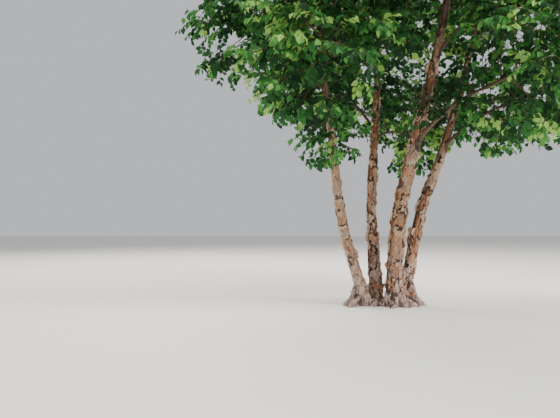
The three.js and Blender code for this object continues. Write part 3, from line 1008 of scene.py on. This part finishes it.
def curl_arrays(stem, random):
    """Corners (n, rows, columns, 3), and how far each row is towards the free edge."""
    has_foot_curl = stem.name == FOOT_CURL["stem"]
    count = int(CURLS_PER_METRE * CURLS_TOP * (0.5 + stem.base * CURLS_FOR_RADIUS))
    bunches = random.random(count // CURLS_TO_A_BUNCH)
    bunch = bunches[random.integers(0, len(bunches), count)]
    height = CURLS_LOW + (CURLS_TOP - CURLS_LOW) * bunch**CURLS_LOWER
    height = np.clip(height + random.normal(0, BUNCH_SPREAD, count), CURLS_LOW, CURLS_TOP)
    if has_foot_curl:
        height[0] = FOOT_CURL["height"]
    along = np.interp(height, stem.heights, stem.steps)
    way = stem.curve.heading(along)
    across = unit(np.cross(way, np.array([0.0, 1.0, 0.0])))
    angle = random.random(count) * 2 * pi
    if has_foot_curl:
        facing = FOOT_CURL["facing"]
        angle[0] = np.arctan2(facing @ np.cross(way[0], across[0]), facing @ across[0])
    out = turned(across, way, angle)
    side = np.cross(way, out) * np.where(random.random(count) < 0.5, 1, -1)[:, None]
    downward = random.random(count) < DOWNWARD_SHARE
    peel_way = turned(np.where(downward[:, None], -way, side), out, random.normal(0, PEEL_TILT, count))

    big = random.random(count) ** BIG_RARITY * np.where(downward, DOWNWARD_BIG, 1)
    length, width, bend = (
        sizes["least"] + sizes["big"] * big + sizes["chance"] * random.random(count)
        for sizes in (CURL_LENGTH, CURL_WIDTH, CURL_BEND)
    )
    if has_foot_curl:
        length[0], width[0], bend[0] = FOOT_CURL_SIZES
        peel_way[0] = -way[0]
    hinge = np.cross(out, peel_way)
    along_hinge = np.linspace(-0.5, 0.5, CURL_COLUMNS)
    dying_out = 1 - (2 * np.abs(along_hinge)) ** CURL_END_ROUNDNESS * CURL_END_LOSS
    ragged = (0.5 + 0.5 * random.random((count, CURL_COLUMNS))) * dying_out
    share = np.linspace(0, 1, CURL_ROWS)
    run = length[:, None, None] * share[None, :, None] * ragged[:, None, :]
    roll = np.minimum(run / bend[:, None, None], CURL_MOST_ROLL)
    forward = bend[:, None, None] * np.sin(roll)
    rise = bend[:, None, None] * (1 - np.cos(roll)) - CURL_ROOT_DEPTH
    reach = along_hinge * width[:, None, None] + 0 * run
    corners = (stem.curve.at(along) + out * stem.radius(along)[:, None])[:, None, None, :]
    for vector, distance in ((peel_way, forward), (out, rise), (hinge, reach)):
        corners = corners + vector[:, None, None, :] * distance[..., None]
    return corners, np.broadcast_to(share[None, :, None], corners.shape[:3])


def curls_piece(stem, number, finish):
    random = np.random.default_rng(CURL_SEED + number)
    corners, share = curl_arrays(stem, random)
    count = len(corners)
    index = np.arange(count * CURL_ROWS * CURL_COLUMNS).reshape(count, CURL_ROWS, CURL_COLUMNS)
    faces = np.stack([index[:, :-1, :-1], index[:, 1:, :-1], index[:, 1:, 1:], index[:, :-1, 1:]], axis=-1)
    corners = corners.reshape(-1, 3)
    corners[:, 2] = np.maximum(corners[:, 2], CURL_LOWEST)
    name = f"stem_{stem.name}_curls"
    mesh = mesh_from_arrays(name, corners, [faces.reshape(-1, 4)], smooth=True)
    tone = random.random(count)
    if stem.name == FOOT_CURL["stem"]:
        tone[0] = FOOT_CURL["tone"]
    tone = np.repeat(tone, CURL_ROWS * CURL_COLUMNS)
    for attribute, values in (("tone", tone), ("edge", share.ravel())):
        mesh.attributes.new(attribute, "FLOAT", "POINT").data.foreach_set("value", values.astype(np.float32))
    new_piece(name, mesh, [f"stem_{stem.name}"], finish)


CURL_SHADES = [
    (0.0, paint(214, 180, 154)), (0.45, paint(190, 144, 112)), (0.7, paint(164, 104, 68)),
    (1.0, paint(104, 60, 42)),
]
curl_finish = Finish("papery_curls", roughness=0.7)
curl_colour = curl_finish.washed(
    curl_finish.shades(curl_finish.attribute("tone"), CURL_SHADES),
    (curl_finish.step(curl_finish.attribute("edge"), 0.55, 1.0), 0.5, paint(224, 198, 174)),
    (curl_finish.step(curl_finish.grain((60, 60, 90)), 0.5, 0.8), 0.4, paint(120, 72, 50)),
)
curl_finish.wear(curl_colour, relief=curl_finish.grain((120, 120, 120)), depth=0.0008)
for number, stem in enumerate(stems):
    curls_piece(stem, number, curl_finish)

# %% [markdown]
# ## Root crown
#
# The stems part from one low crown of wood, with buttress roots that dive into the ground. It starts as a
# dome and tapering tubes, a voxel remesh melts them into one skin, and ridges like the bark's roughen it. A
# cut at ground level leaves its flat underside.

# %% Root crown
ROOT_DOME = ((0.005, 0.025, 0), (0.235, 0.150, 0.070))
ROOT_TOP = 0.170
ROOT_RUN = (0.18, 0.14, 0.20)
ROOT_TURNS = (-0.85, -0.10, 0.70)
ROOT_RADIUS = (0.050, 0.016)
ROOT_KNEE = (0.10, 0.004)
ROOT_BELOW = 0.040
ROOT_WANDER = 0.06
SEAT_HEIGHT = 0.110
ROOT_RINGS = 14
ROOT_SIDES = 16
ROOT_VOXEL = 0.006
ROOT_SMOOTHING = 12
ROOT_RIDGES = (5.5, 9)
ROOT_RELIEF = 0.010
ROOT_SMOKE = 0.18
ROOT_START = 0.45
SEAT_SHARE = 0.97
DOME_SEGMENTS = (48, 24)
GROUND_BAND = 1e-4


def add_roots(bm, stem, number):
    """The foot of a stem, and the roots that run down it and out into the ground."""
    along = np.linspace(0, stem.along_at(SEAT_HEIGHT), ROOT_RINGS)
    roll_tube(bm, stem.curve, along, ROOT_SIDES, stem.radius(along) * SEAT_SHARE)
    foot = stem.place_at(ROOT_TOP)
    radius = stem.radius_at(ROOT_TOP)
    outward = np.arctan2(foot[1] - ROOT_DOME[0][1], foot[0] - ROOT_DOME[0][0])
    share = np.linspace(0, 1, ROOT_RINGS)
    for k, (turn, run) in enumerate(zip(ROOT_TURNS, ROOT_RUN)):
        way = np.array([cos(outward + turn), sin(outward + turn), 0])
        wander = np.array([-way[1], way[0], 0]) * ROOT_WANDER * sin(5 * number + 3 * k)
        start = foot + way * radius * ROOT_START
        knee = foot + way * (radius + run * ROOT_KNEE[0]) + UP * (ROOT_KNEE[1] - foot[2])
        end = foot + way * (radius + run) + wander - UP * (foot[2] + ROOT_BELOW)
        radii = ROOT_RADIUS[0] + (ROOT_RADIUS[1] - ROOT_RADIUS[0]) * share
        roll_tube(bm, bent(start, knee, end), share, ROOT_SIDES, radii)


def melted(mesh, name):
    """One even skin over a mesh of crossing shapes."""
    helper = linked(name, mesh)
    remesh = helper.modifiers.new("melt", "REMESH")
    remesh.mode = "VOXEL"
    remesh.voxel_size = ROOT_VOXEL
    smooth = helper.modifiers.new("soften", "SMOOTH")
    smooth.iterations = ROOT_SMOOTHING
    skin = bpy.data.meshes.new_from_object(helper.evaluated_get(bpy.context.evaluated_depsgraph_get()))
    bpy.data.objects.remove(helper)
    return skin


def root_bark_at(out):
    """The root bark's height, layer, curl and tear: ridges along the roots, with dark cracks between.
    The paler ridge tops are a painted highlight and the dark cracks painted shade.
    """
    run = hypot(out.x, out.y)
    around, along = ROOT_RIDGES
    spot = Vector((out.x / run * around, out.y / run * around, (run - out.z) * along))
    spot = spot + noise.noise_vector(out * 22) * 0.3
    ridge = noise.fractal(spot, 0.7, 2.1, 4)
    layer = 0.5 + 0.35 * noise.noise(out * 11) + 0.25 * ridge
    return ROOT_RELIEF * ridge, layer, 0.3 * ramp(ridge, 0.3, 0.6), ramp(-ridge, 0.12, 0.4)


def root_crown_mesh():
    centre, half = ROOT_DOME
    bm = bmesh.new()
    bmesh.ops.create_uvsphere(bm, u_segments=DOME_SEGMENTS[0], v_segments=DOME_SEGMENTS[1], radius=1)
    bmesh.ops.scale(bm, vec=half, verts=bm.verts)
    bmesh.ops.translate(bm, vec=centre, verts=bm.verts)
    for number, stem in enumerate(stems):
        add_roots(bm, stem, number)
    close_and_face_out(bm)
    skin = melted(finished_mesh(bm, "root_crown_rough"), "root_crown_rough")

    bm = bmesh.new()
    bm.from_mesh(skin)
    geometry = [*bm.verts, *bm.edges, *bm.faces]
    bmesh.ops.bisect_plane(bm, geom=geometry, plane_co=(0, 0, 0), plane_no=(0, 0, 1), clear_inner=True)
    close_and_face_out(bm)
    bm.normal_update()
    layers = bark_layers(bm)
    for corner in bm.verts:
        if corner.co.z > GROUND_BAND:
            height, *values = root_bark_at(corner.co - Vector(centre))
            corner.co = corner.co + corner.normal * height
            corner.co.z = max(corner.co.z, 0)
            for layer, value in zip(layers, (*values, ROOT_SMOKE)):
                corner[layer] = value
    return finished_mesh(bm, "root_crown_bark")


new_piece("root_crown_bark", root_crown_mesh(), ["root_crown"], bark)

# %% [markdown]
# ## Boughs
#
# A bough leaves its stem with a thick collar, then tapers evenly to where it enters its foliage. Its bark
# is younger: smooth, satin, red-brown, with pale pores across it. All boughs of one stem are one piece.

# %% The boughs' finish
young = Finish("bough_bark")
young_colour = young.washed(
    young.mix(young.grain((18, 18, 18), detail=4), paint(112, 82, 64), paint(66, 45, 36)),
    (young.step(young.grain((55, 55, 55), detail=3), 0.52, 0.7), 0.6, paint(44, 31, 27)),
    (young.step(young.grain((150, 150, 420), detail=1), 0.66, 0.7), 0.5, paint(176, 144, 118)),
)
young_roughness = 0.45 + young.grain((60, 60, 60)) * 0.3
young.wear(young_colour, young_roughness, relief=young.grain((90, 90, 90)), depth=0.0012)

# %% Boughs with their collars
BOUGH_RINGS = 46
BOUGH_SIDES = 14
COLLAR = 0.7
COLLAR_LENGTH = 0.045
COLLAR_SEAT = 0.8
CLOSER_AT_FOOT = 1.25
# Each set of waves has its size, its radians to a metre of bough, and its shift from bough to bough.
BOUGH_WAVES = ((0.05, 41, 2.1), (0.03, 97, 0))


def add_bough(bm, bough, number):
    share = np.linspace(0, 1, BOUGH_RINGS) ** CLOSER_AT_FOOT
    run = bough.curve.length * share
    seat = COLLAR_SEAT * bough.stem.radius_at(bough.height)
    collar = 1 + COLLAR * np.exp(-np.maximum(run - seat, 0) / COLLAR_LENGTH)
    waves = 1
    for size, pace, shift in BOUGH_WAVES:
        waves = waves + size * np.sin(run * pace + number * shift)
    roll_tube(bm, bough.curve, share, BOUGH_SIDES, bough.radius(share) * collar * waves)


for stem in stems:
    own = [bough for bough in boughs if bough.stem is stem]
    bm = bmesh.new()
    for number, bough in enumerate(own):
        add_bough(bm, bough, number)
    close_and_face_out(bm)
    name = f"boughs_{stem.name}"
    new_piece(name, finished_mesh(bm, name), [bough.name for bough in own], young)


# %% [markdown]
# ## Twigs
#
# In each space the rule grows one spine and side twigs that spiral round it by the golden angle, just as in
# the solid. From there it goes on: more side twigs between those, finer twigs to both sides of each, and
# leafy shoots on those. Every twig asks first how much room its space leaves it, and one that would touch a
# limb is left out.

# %% The coarse twigs, as the solid has them
TWIG_LEAF_ROOM = 0.8
TWIG_LEAST_ROOM = 0.3


class Twig:
    """A twig's curve with its radius at both ends."""

    def __init__(self, curve, base, tip):
        self.curve = curve
        self.base = base
        self.tip = tip


def side_twig(mass, spine, t, angle, spread):
    """A side twig that leaves a spine at t, turned round it by an angle and away from it by a spread."""
    start = spine.at(t)
    heading = spine.heading(t)
    side = turned(unit(np.cross(heading, UP)), heading, angle)
    direction = turned(heading, side, spread)
    room = mass.room(start, direction)
    length = max(room - TWIG_LEAF_ROOM * LEAF_SHARE * mass.size, TWIG_LEAST_ROOM * room)
    return start, direction, room, length


def twig_curve(start, direction, length, knee, sag):
    """A twig that keeps its direction as far as a knee and then sags by a share of its length."""
    tip = start + direction * length - UP * sag * length
    return bent(start, start + direction * length * knee, tip)


def holds(mass, points, share=1.0):
    """Which points are in a mass's space or, for sprays on limbs that belong to no mass, in the crown."""
    if mass is not None:
        return mass.holds(points, share)
    reach = np.array([crown_reach(height) for height in points[:, 2]])
    away = np.hypot(points[:, 0] - CROWN_AXIS[0], points[:, 1] - CROWN_AXIS[1])
    return (away < reach * share) & (points[:, 2] > CROWN_WAIST - CROWN_BELOW * share)


def fits(mass, points):
    return bool(np.all(holds(mass, points)) and np.all(clear_of_limbs(points)))


QUARTERS = np.array([0.25, 0.5, 0.75, 1.0])
SPINE_LEAF_ROOM = 0.75
SPINE_KNEE = 0.45
TWIG_KNEE = 0.55
TWIG_SAG = 0.08
LONGER = 1.28
LONGER_ROOM = 0.82
SPINE_TIP = 0.004
SIDE_TWIG_RADII = (0.0052, 0.0026)
BETWEEN_STEP = 0.4
BETWEEN_LAST = 0.97
BETWEEN_TURN = 180
BETWEEN_SWAY = 40


def grow_coarse(mass, seed):
    """The mass's spine and its side twigs: those of the solid, and as many again between them."""
    draw = seeded(seed)
    outward = unit(mass.centre - mass.foot)
    end = mass.centre + outward * (mass.room(mass.centre, outward) - SPINE_LEAF_ROOM * LEAF_SHARE * mass.size)
    end = end - UP * mass.droop * mass.size
    knee = mass.foot + mass.heading * np.linalg.norm(end - mass.foot) * SPINE_KNEE
    spine = bent(mass.foot, knee, end)
    twigs = []
    count = round(TWIGS_PER_METRE * mass.size)
    for k in range(count):
        t = TWIGS_FROM + TWIGS_OVER * (k + TWIG_SHIFT * draw()) / count
        angle = radians(k * GOLDEN_ANGLE + GOLDEN_CHANCE * draw())
        opening = TWIG_ANGLE_LOW + (TWIG_ANGLE_HIGH - TWIG_ANGLE_LOW) * t
        spread = radians(opening + TWIG_ANGLE_CHANCE * (draw() - 0.5))
        twigs.append((t, angle, spread))
        between = min(t + BETWEEN_STEP / count, BETWEEN_LAST)
        opposite = angle + radians(BETWEEN_TURN + BETWEEN_SWAY * sin(7 * k + seed))
        twigs.append((between, opposite, spread))
    grown = []
    for t, angle, spread in twigs:
        start, direction, room, length = side_twig(mass, spine, t, angle, spread)
        length = min(length * LONGER, LONGER_ROOM * room)
        curve = twig_curve(start, direction, length, TWIG_KNEE, TWIG_SAG)
        if fits(mass, curve.at(QUARTERS)):
            grown.append(Twig(curve, *SIDE_TWIG_RADII))
    return Twig(spine, mass.foot_radius, SPINE_TIP), grown


spines, coarse = [], []
for seed, mass in enumerate(masses, start=1):
    spine, twigs = grow_coarse(mass, seed)
    spines.append((mass, spine))
    coarse.extend((mass, twig) for twig in twigs)
print(len(spines), "spines and", len(coarse), "side twigs")

# %% [markdown]
# Finer twigs leave a side twig by turns to its left and right, roughly level, and sag a little at their
# ends. Their length is drawn by chance but never past about three quarters of the room. The outer boughs
# and the upper stems carry such twigs too, all round, so that no limb in the crown is bare.

# %% The fine twigs
FINE_SPACING = 0.075
FINE_LENGTH = (0.17, 0.40)
FINE_TURN = (38, 68)
FINE_ROOM = 0.78
FINE_KNEE = 0.5
FINE_SAG = 0.14
FINE_LEAST = 0.05
FINE_RADII = (0.0026, 0.0014)
FINE_TIP_TURN = 0.1
FINE_ROLL = 0.5
ROUND_STEP = 2.4
BARE_LENGTH = (0.16, 0.36)
BARE_SPACING = 0.045
CLOTHED_BOUGHS = (0.22, 0.98)
CLOTHED_STEMS = {"left": (1.55, 4.0), "back": (1.65, 4.2), "main": (2.5, 4.6), "right": (2.1, 4.3)}
FINE_ON_TWIGS_FROM = 0.16
FINE_ON_SPINES_FROM = 0.3
CROWN_SEED = 7
random = np.random.default_rng(CROWN_SEED)


def fine_twig(mass, start, direction, longest):
    """A fine twig from a start in a direction, or None where there's no room."""
    length = random.uniform(*longest)
    if mass is not None:
        length = min(length, FINE_ROOM * mass.room(start, direction))
    if length < FINE_LEAST:
        return None
    curve = twig_curve(start, direction, length, FINE_KNEE, FINE_SAG)
    return Twig(curve, *FINE_RADII) if fits(mass, curve.at(QUARTERS)) else None


def grow_along(mass, curve, low, high, longest, round_about):
    """Fine twigs along a curve from low to high: to both sides, or closer together and all round it."""
    spacing = BARE_SPACING if round_about else FINE_SPACING
    count = max(int(curve.length * (high - low) / spacing), 1)
    shares = low + (high - low) * (np.arange(count) + 0.4 + 0.4 * random.random(count)) / count
    grown = []
    for k, share in enumerate([*shares, high]):
        heading = curve.heading(share)
        roll = k * ROUND_STEP if round_about else random.normal(0, FINE_ROLL)
        normal = turned(upward(heading), heading, roll)
        turn = radians(random.uniform(*FINE_TURN)) * (1 if k % 2 else -1) if share < 1 else FINE_TIP_TURN
        grown.append(fine_twig(mass, curve.at(share), turned(heading, normal, turn), longest))
    return [(mass, twig) for twig in grown if twig is not None]


fine = []
for mass, twig in coarse:
    fine += grow_along(mass, twig.curve, FINE_ON_TWIGS_FROM, 1.0, FINE_LENGTH, False)
for mass, spine in spines:
    fine += grow_along(mass, spine.curve, FINE_ON_SPINES_FROM, 1.0, FINE_LENGTH, False)
for bough in boughs:
    fine += grow_along(None, bough.curve, *CLOTHED_BOUGHS, BARE_LENGTH, True)
for stem in stems:
    low, high = (stem.along_at(height) for height in CLOTHED_STEMS[stem.name])
    fine += grow_along(None, stem.curve, low, high, BARE_LENGTH, True)
print(len(fine), "fine twigs")

# %% [markdown]
# In the photo thin branches arch out of the left stem towards the camera, and the sun catches their large
# leaves. They get lines of their own, with bigger shoots.

# %% The sunlit branches
# Each branch has the height where it leaves the stem, its knee and its end.
SUNLIT = [
    (2.35, (-0.98, -0.66, 2.20), (-1.40, -0.98, 1.95)),
    (2.60, (-0.72, -0.74, 2.74), (-0.90, -1.12, 2.22)),
]
SUNLIT_SCALE = 1.3
SUNLIT_RADII = (0.007, 0.003)

left = stem_named["left"]
first_sunlit = len(fine)
for leaves_at, knee, end in SUNLIT:
    curve = bent(left.place_at(leaves_at), np.array(knee), np.array(end))
    fine.append((None, Twig(curve, *SUNLIT_RADII)))
print(len(SUNLIT), "sunlit branches")

# %% [markdown]
# ## Leafy shoots
#
# A shoot carries its leaves by turns to left and right, and the blades hang a little. A few kinds of shoot
# are drawn by chance and dealt out over the whole crown, turned and scaled. A birch leaf is a rounded
# diamond with a wedge-shaped foot. It is a capped circle of eight corners pulled to that outline, folded up
# along its midrib and split there, so that each half is shaded smoothly and the fold stays sharp.

# %% One leaf
LEAF_OUTLINE = [(0, 0), (0.24, 0.20), (0.46, 0.36), (0.74, 0.23), (1, 0)]
LEAF_FOLD = 0.32
LEAF_SAG = 0.22


def leaf_template():
    """Corners (12, 3) and faces (8, 3) of a leaf of length 1 along +X, with +Z its upper face."""
    bm = bmesh.new()
    outline = [*LEAF_OUTLINE, *((x, -y) for x, y in reversed(LEAF_OUTLINE[1:-1]))]
    bmesh.ops.create_circle(bm, cap_ends=True, cap_tris=True, segments=len(outline), radius=1)
    middle = min(bm.verts, key=lambda v: v.co.length)
    rim = sorted((v for v in bm.verts if v != middle), key=lambda v: np.arctan2(v.co.y, v.co.x) % (2 * pi))
    for corner, (x, y) in zip(rim, outline):
        corner.co = (x, -y, abs(y) * LEAF_FOLD - LEAF_SAG * x**2)
    middle.co = (0.5, 0, -LEAF_SAG * 0.25)
    bmesh.ops.recalc_face_normals(bm, faces=bm.faces)
    bm.normal_update()
    if sum(face.normal.z for face in bm.faces) < 0:
        bmesh.ops.reverse_faces(bm, faces=bm.faces)
    midrib = [edge for edge in middle.link_edges if abs(edge.other_vert(middle).co.y) < SAME_PLACE]
    bmesh.ops.split_edges(bm, edges=midrib)
    bm.verts.index_update()
    corners = np.array([v.co for v in bm.verts])
    faces = np.array([[v.index for v in face.verts] for face in bm.faces])
    bm.free()
    return corners, faces


LEAF_CORNERS, LEAF_FACES = leaf_template()
print("a leaf has", len(LEAF_FACES), "faces")

# %% Shoots with leaves
SHOOT_SEED = 21
SHOOT_KINDS = 12
LEAVES_LEAST, LEAVES_MOST = 5, 8
LEAF_LENGTH = (0.054, 0.080)
LEAF_GAP = 0.024
SHOOT_WANDER = 0.012
SHOOT_DROOP = 0.02
SHOOT_ARCH = 0.01
LEAF_SWING = (42, 72)
LEAF_HANG = (0.05, 0.75)
LEAF_ROLL = 0.5
END_LEAF_SIZE = 0.75
END_LEAF_SWING = 0.15


def frame_of(along, normal):
    """A turn whose X runs along a way and whose Z is near a normal, as rows of (3, 3)."""
    x = unit(along)
    y = unit(np.cross(normal, x))
    return np.stack([x, y, np.cross(x, y)], axis=-1)


def make_shoot(random):
    """A shoot along +X: its bent line, and its leaves as corners (leaves, corners, 3)."""
    count = int(random.integers(LEAVES_LEAST, LEAVES_MOST + 1))
    length = LEAF_GAP * (count - 0.3)
    end = np.array([length, random.normal(0, SHOOT_WANDER), -SHOOT_DROOP])
    line = bent(np.zeros(3), np.array([length * 0.5, 0, SHOOT_ARCH]), end)
    leaves = []
    for k in range(count):
        share = min((k + 0.6) / (count - 0.2), 1.0)
        last = k == count - 1
        swing = radians(random.uniform(*LEAF_SWING)) * (1 if k % 2 else -1) * (END_LEAF_SWING if last else 1)
        along = turned(line.heading(share), UP, swing) - UP * random.uniform(*LEAF_HANG)
        normal = turned(UP, unit(along), random.normal(0, LEAF_ROLL))
        size = random.uniform(*LEAF_LENGTH) * (END_LEAF_SIZE if k == 0 or last else 1)
        leaves.append(line.at(share) + (LEAF_CORNERS * size) @ frame_of(along, normal).T)
    return line, np.array(leaves)


shoot_random = np.random.default_rng(SHOOT_SEED)
shoot_kinds = [make_shoot(shoot_random) for _ in range(SHOOT_KINDS)]
print("leaves on each kind of shoot:", [len(leaves) for _, leaves in shoot_kinds])

# %% Dealing the shoots out
SHOOT_SPACING = 0.044
SHOOTS_FROM = 0.15
SHOOT_TURN = (35, 65)
SHOOT_ROLL = 0.6
SHOOT_HANG = 0.12
SHOOT_SCALE = (0.85, 1.15)
LEAFY_SHARE = 0.85


def shoot_seats(twig):
    """Where shoots leave a fine twig: shares of its length, places, ways and normals."""
    count = max(int(twig.curve.length * LEAFY_SHARE / SHOOT_SPACING), 1)
    shares = SHOOTS_FROM + LEAFY_SHARE * (np.arange(count) + random.random(count) * 0.7) / count
    shares = np.array([*shares, 1.0])
    headings = twig.curve.heading(shares)
    normals = turned(upward(headings), headings, random.normal(0, SHOOT_ROLL, len(shares)))
    sides = np.where(np.arange(len(shares)) % 2, 1, -1)
    turns = np.radians(random.uniform(*SHOOT_TURN, len(shares))) * sides * (shares < 1)
    return shares, twig.curve.at(shares), turned(headings, normals, turns) - UP * SHOOT_HANG, normals


seats = [shoot_seats(twig) for _, twig in fine]
shares, places, ways, normals = (np.concatenate(part) for part in zip(*seats))
bearers = np.repeat(np.arange(len(fine)), [len(seat[0]) for seat in seats])
sunny = bearers >= first_sunlit
kinds = random.integers(0, SHOOT_KINDS, len(places))
scales = random.uniform(*SHOOT_SCALE, len(places)) * np.where(sunny, SUNLIT_SCALE, 1)
frames = frame_of(ways, normals) * scales[:, None, None]
print(len(places), "shoots")

# %% [markdown]
# The tints are one leaf green, painted from deep shade to full sun, and they are dealt out by shoot. Each
# shoot gets a mark from where it is, lighter towards the outside of the crown, from soft patches of sun and
# shade through the crown, from a few places where the sun falls in on whole sprays, and from chance. Then
# the shoots are ranked by that mark, so that each tint gets its own share of them. Last, some leaves stray
# to the next tint.

# %% Tints
# One leaf green painted from shade to sunlight: the tints are painted light and shade, with some spread by
# chance.
TINTS = {
    "leaf_shade": paint(19, 54, 24),
    "leaf_deep": paint(29, 77, 33),
    "leaf_mid": paint(48, 106, 45),
    "leaf_lit": paint(84, 143, 66),
    "leaf_sunlit": paint(150, 192, 96),
}
TINT_SHARES = (0.29, 0.29, 0.22, 0.12, 0.08)
PATCH_SIZE = 0.3
PATCH_WEIGHT = 0.75
# Shoots further out in the crown get sunnier tints: painted light.
OUTER_WEIGHT = 0.25
SUN_FALLS = [
    (-1.20, -0.90, 2.02), (-0.84, -1.00, 2.30), (0.17, -0.45, 2.32), (0.70, -0.70, 2.38),
    (0.47, 0.35, 1.46), (1.15, -0.75, 1.36), (1.45, 0.60, 3.10), (-1.10, 0.80, 3.40),
    (0.20, 1.30, 2.60), (0.50, -1.60, 3.60),
]
SUN_WIDTH = 0.26
SUN_WEIGHT = 0.5

axis = np.array([*CROWN_AXIS, CROWN_WAIST])
outerness = np.linalg.norm((places - axis) / np.array([CROWN_REACH, CROWN_REACH, CROWN_ABOVE]), axis=1)
patches = np.array([noise.noise(Vector(place / PATCH_SIZE)) for place in places])
marks = random.random(len(places)) + PATCH_WEIGHT * patches + OUTER_WEIGHT * outerness
for spot in SUN_FALLS:
    marks += SUN_WEIGHT * np.exp(-(np.linalg.norm(places - spot, axis=1) / SUN_WIDTH) ** 2)
ranks = np.argsort(np.argsort(marks)) / len(marks)
tints = np.minimum(np.searchsorted(np.cumsum(TINT_SHARES), ranks), len(TINTS) - 1)
print("shoots of each tint:", np.bincount(tints).tolist())

# %% [markdown]
# Specks of sky show through the crown, and the photo has more of them in some places, mostly to the right
# of the main stem. A speckled pattern in the upright plane of the stems opens them: no leaf is laid on the
# camera's lines of sight through a speck, and there are more specks in the places listed here.

# %% Specks of sky
# Each opening has its X and Z in the plane of the stems, and a radius.
SKY_OPENINGS = [
    (0.045, 2.230, 0.07), (0.930, 1.935, 0.07), (0.860, 1.745, 0.06), (0.940, 1.720, 0.07),
    (1.020, 1.740, 0.06), (1.000, 2.300, 0.09), (1.110, 2.290, 0.09), (1.170, 2.380, 0.08),
    (1.270, 2.480, 0.08), (1.380, 2.520, 0.08), (1.270, 1.910, 0.07), (1.250, 2.230, 0.07),
    (0.315, 2.520, 0.06), (1.400, 1.920, 0.07),
]
SPECK_SIZE = 0.05
SPECK_LAYER = 9.38
SPECKS_FROM = 0.45
SPECKS_MORE = 0.55


def before_the_sky(points):
    """Which points lie on a line of sight through a speck of sky."""
    eye = np.array(CAMERA_PLACE)
    share = eye[1] / (eye[1] - points[:, 1])
    x, _, z = (eye + (points - eye) * share[:, None]).T
    spots = np.stack([x / SPECK_SIZE, np.full(len(x), SPECK_LAYER), z / SPECK_SIZE], axis=1)
    specks = np.array([noise.noise(Vector(spot)) for spot in spots])
    away = np.min([np.hypot(x - at_x, z - at_z) / radius for at_x, at_z, radius in SKY_OPENINGS], axis=0)
    return specks > SPECKS_FROM - SPECKS_MORE * np.exp(-(away**2))


# %% [markdown]
# Each leaf is kept only if it lies in its own space, clear of stems and boughs and out of the specks. A
# shoot with too few leaves inside its space is dropped, and a fine twig ends at its last leafy shoot. The
# leaves of each tint are one piece, and let some of the light through, which makes the crown glow where the
# sun is behind it.

# %% Laying the leaves
LEAF_CLEARANCE = 0.04
LEAF_REACH = 0.98
LEAST_KEPT = 0.6
STRAYS = 0.3
SHOOT_RADII = (0.0014, 0.0007)
leaf_corners = [[] for _ in TINTS]
shoot_places, shoot_radii = [], []
twig_reach = np.zeros(len(fine))
number_of = {id(mass): number for number, mass in enumerate(masses)}
owners = np.array([number_of.get(id(mass), -1) for mass, _ in fine])[bearers]
for kind, (line, leaves) in enumerate(shoot_kinds):
    chosen = np.flatnonzero(kinds == kind)
    laid = np.einsum("sij,lkj->slki", frames[chosen], leaves) + places[chosen][:, None, None, :]
    middle = laid.mean(axis=2)
    keep = np.zeros(middle.shape[:2], bool)
    for number, mass in enumerate([*masses, None]):
        own = np.flatnonzero(owners[chosen] == (number if mass else -1))
        keep[own] = holds(mass, middle[own].reshape(-1, 3), LEAF_REACH).reshape(len(own), -1)
    keep &= (keep.mean(axis=1) > LEAST_KEPT)[:, None]
    spots = middle.reshape(-1, 3)
    keep &= (clear_of_limbs(spots, LEAF_CLEARANCE) & ~before_the_sky(spots)).reshape(keep.shape)
    step = random.choice((-1, 0, 1), keep.shape, p=(STRAYS / 2, 1 - STRAYS, STRAYS / 2))
    leaf_tints = np.clip(tints[chosen][:, None] + step, 0, len(TINTS) - 1)
    for tint in range(len(TINTS)):
        leaf_corners[tint].append(laid[keep & (leaf_tints == tint)])
    leafy = chosen[keep.any(axis=1)]
    np.maximum.at(twig_reach, bearers[leafy], shares[leafy])
    ends = line.at(np.array([0.0, 1.0]))
    shoot_places.append(np.einsum("sij,kj->ski", frames[leafy], ends) + places[leafy][:, None, :])
    shoot_radii.append(np.tile(SHOOT_RADII, (len(leafy), 1)))

# %% Leaves as joined pieces
LEAF_SHEEN = 0.25
LEAF_ROUGHNESS = 0.55
LIGHT_THROUGH = 0.3
GLOW = 1.9
GLOW_LEAST = 0.02

foliage_nodes = [mass.name for mass in masses]
for (tint, colour), parts in zip(TINTS.items(), leaf_corners):
    corners = np.concatenate(parts)
    faces = (LEAF_FACES[None] + np.arange(len(corners))[:, None, None] * len(LEAF_CORNERS)).reshape(-1, 3)
    mesh = mesh_from_arrays(tint, corners.reshape(-1, 3), [faces], smooth=True)
    finish = Finish(tint, roughness=LEAF_ROUGHNESS, sheen=LEAF_SHEEN)
    finish.wear(colour)
    glow = [min(c * GLOW + GLOW_LEAST, 1) for c in colour[:3]]
    finish.let_light_through((*glow, 1), LIGHT_THROUGH)
    new_piece(tint, mesh, foliage_nodes, finish)
print("leaves in all:", sum(len(part) for parts in leaf_corners for part in parts))

# %% Twigs and shoots as joined pieces
SPINE_GRID = (14, 8)
SIDE_TWIG_GRID = (7, 5)
FINE_TWIG_GRID = (4, 3)
SHOOT_SIDES = 3


def twig_tubes(twigs, reaches, rings, sides):
    share = np.linspace(0, 1, rings)
    places = np.array([twig.curve.at(share * reach) for twig, reach in zip(twigs, reaches)])
    radii = np.array([twig.base + (twig.tip - twig.base) * share for twig in twigs])
    return tube_arrays(places, radii, sides)


leafy = np.flatnonzero(twig_reach > 0)
twig_parts = [
    twig_tubes([spine for _, spine in spines], np.ones(len(spines)), *SPINE_GRID),
    twig_tubes([twig for _, twig in coarse], np.ones(len(coarse)), *SIDE_TWIG_GRID),
    twig_tubes([fine[k][1] for k in leafy], twig_reach[leafy], *FINE_TWIG_GRID),
]
mesh = mesh_from_arrays("twigs", *joined(twig_parts), smooth=True)
new_piece("twigs", mesh, foliage_nodes, young)

shoot_finish = Finish("green_shoots", roughness=0.5)
shoot_finish.wear(paint(104, 92, 48))
tubes = tube_arrays(np.concatenate(shoot_places), np.concatenate(shoot_radii), SHOOT_SIDES)
new_piece("shoots", mesh_from_arrays("shoots", *tubes), foliage_nodes, shoot_finish)
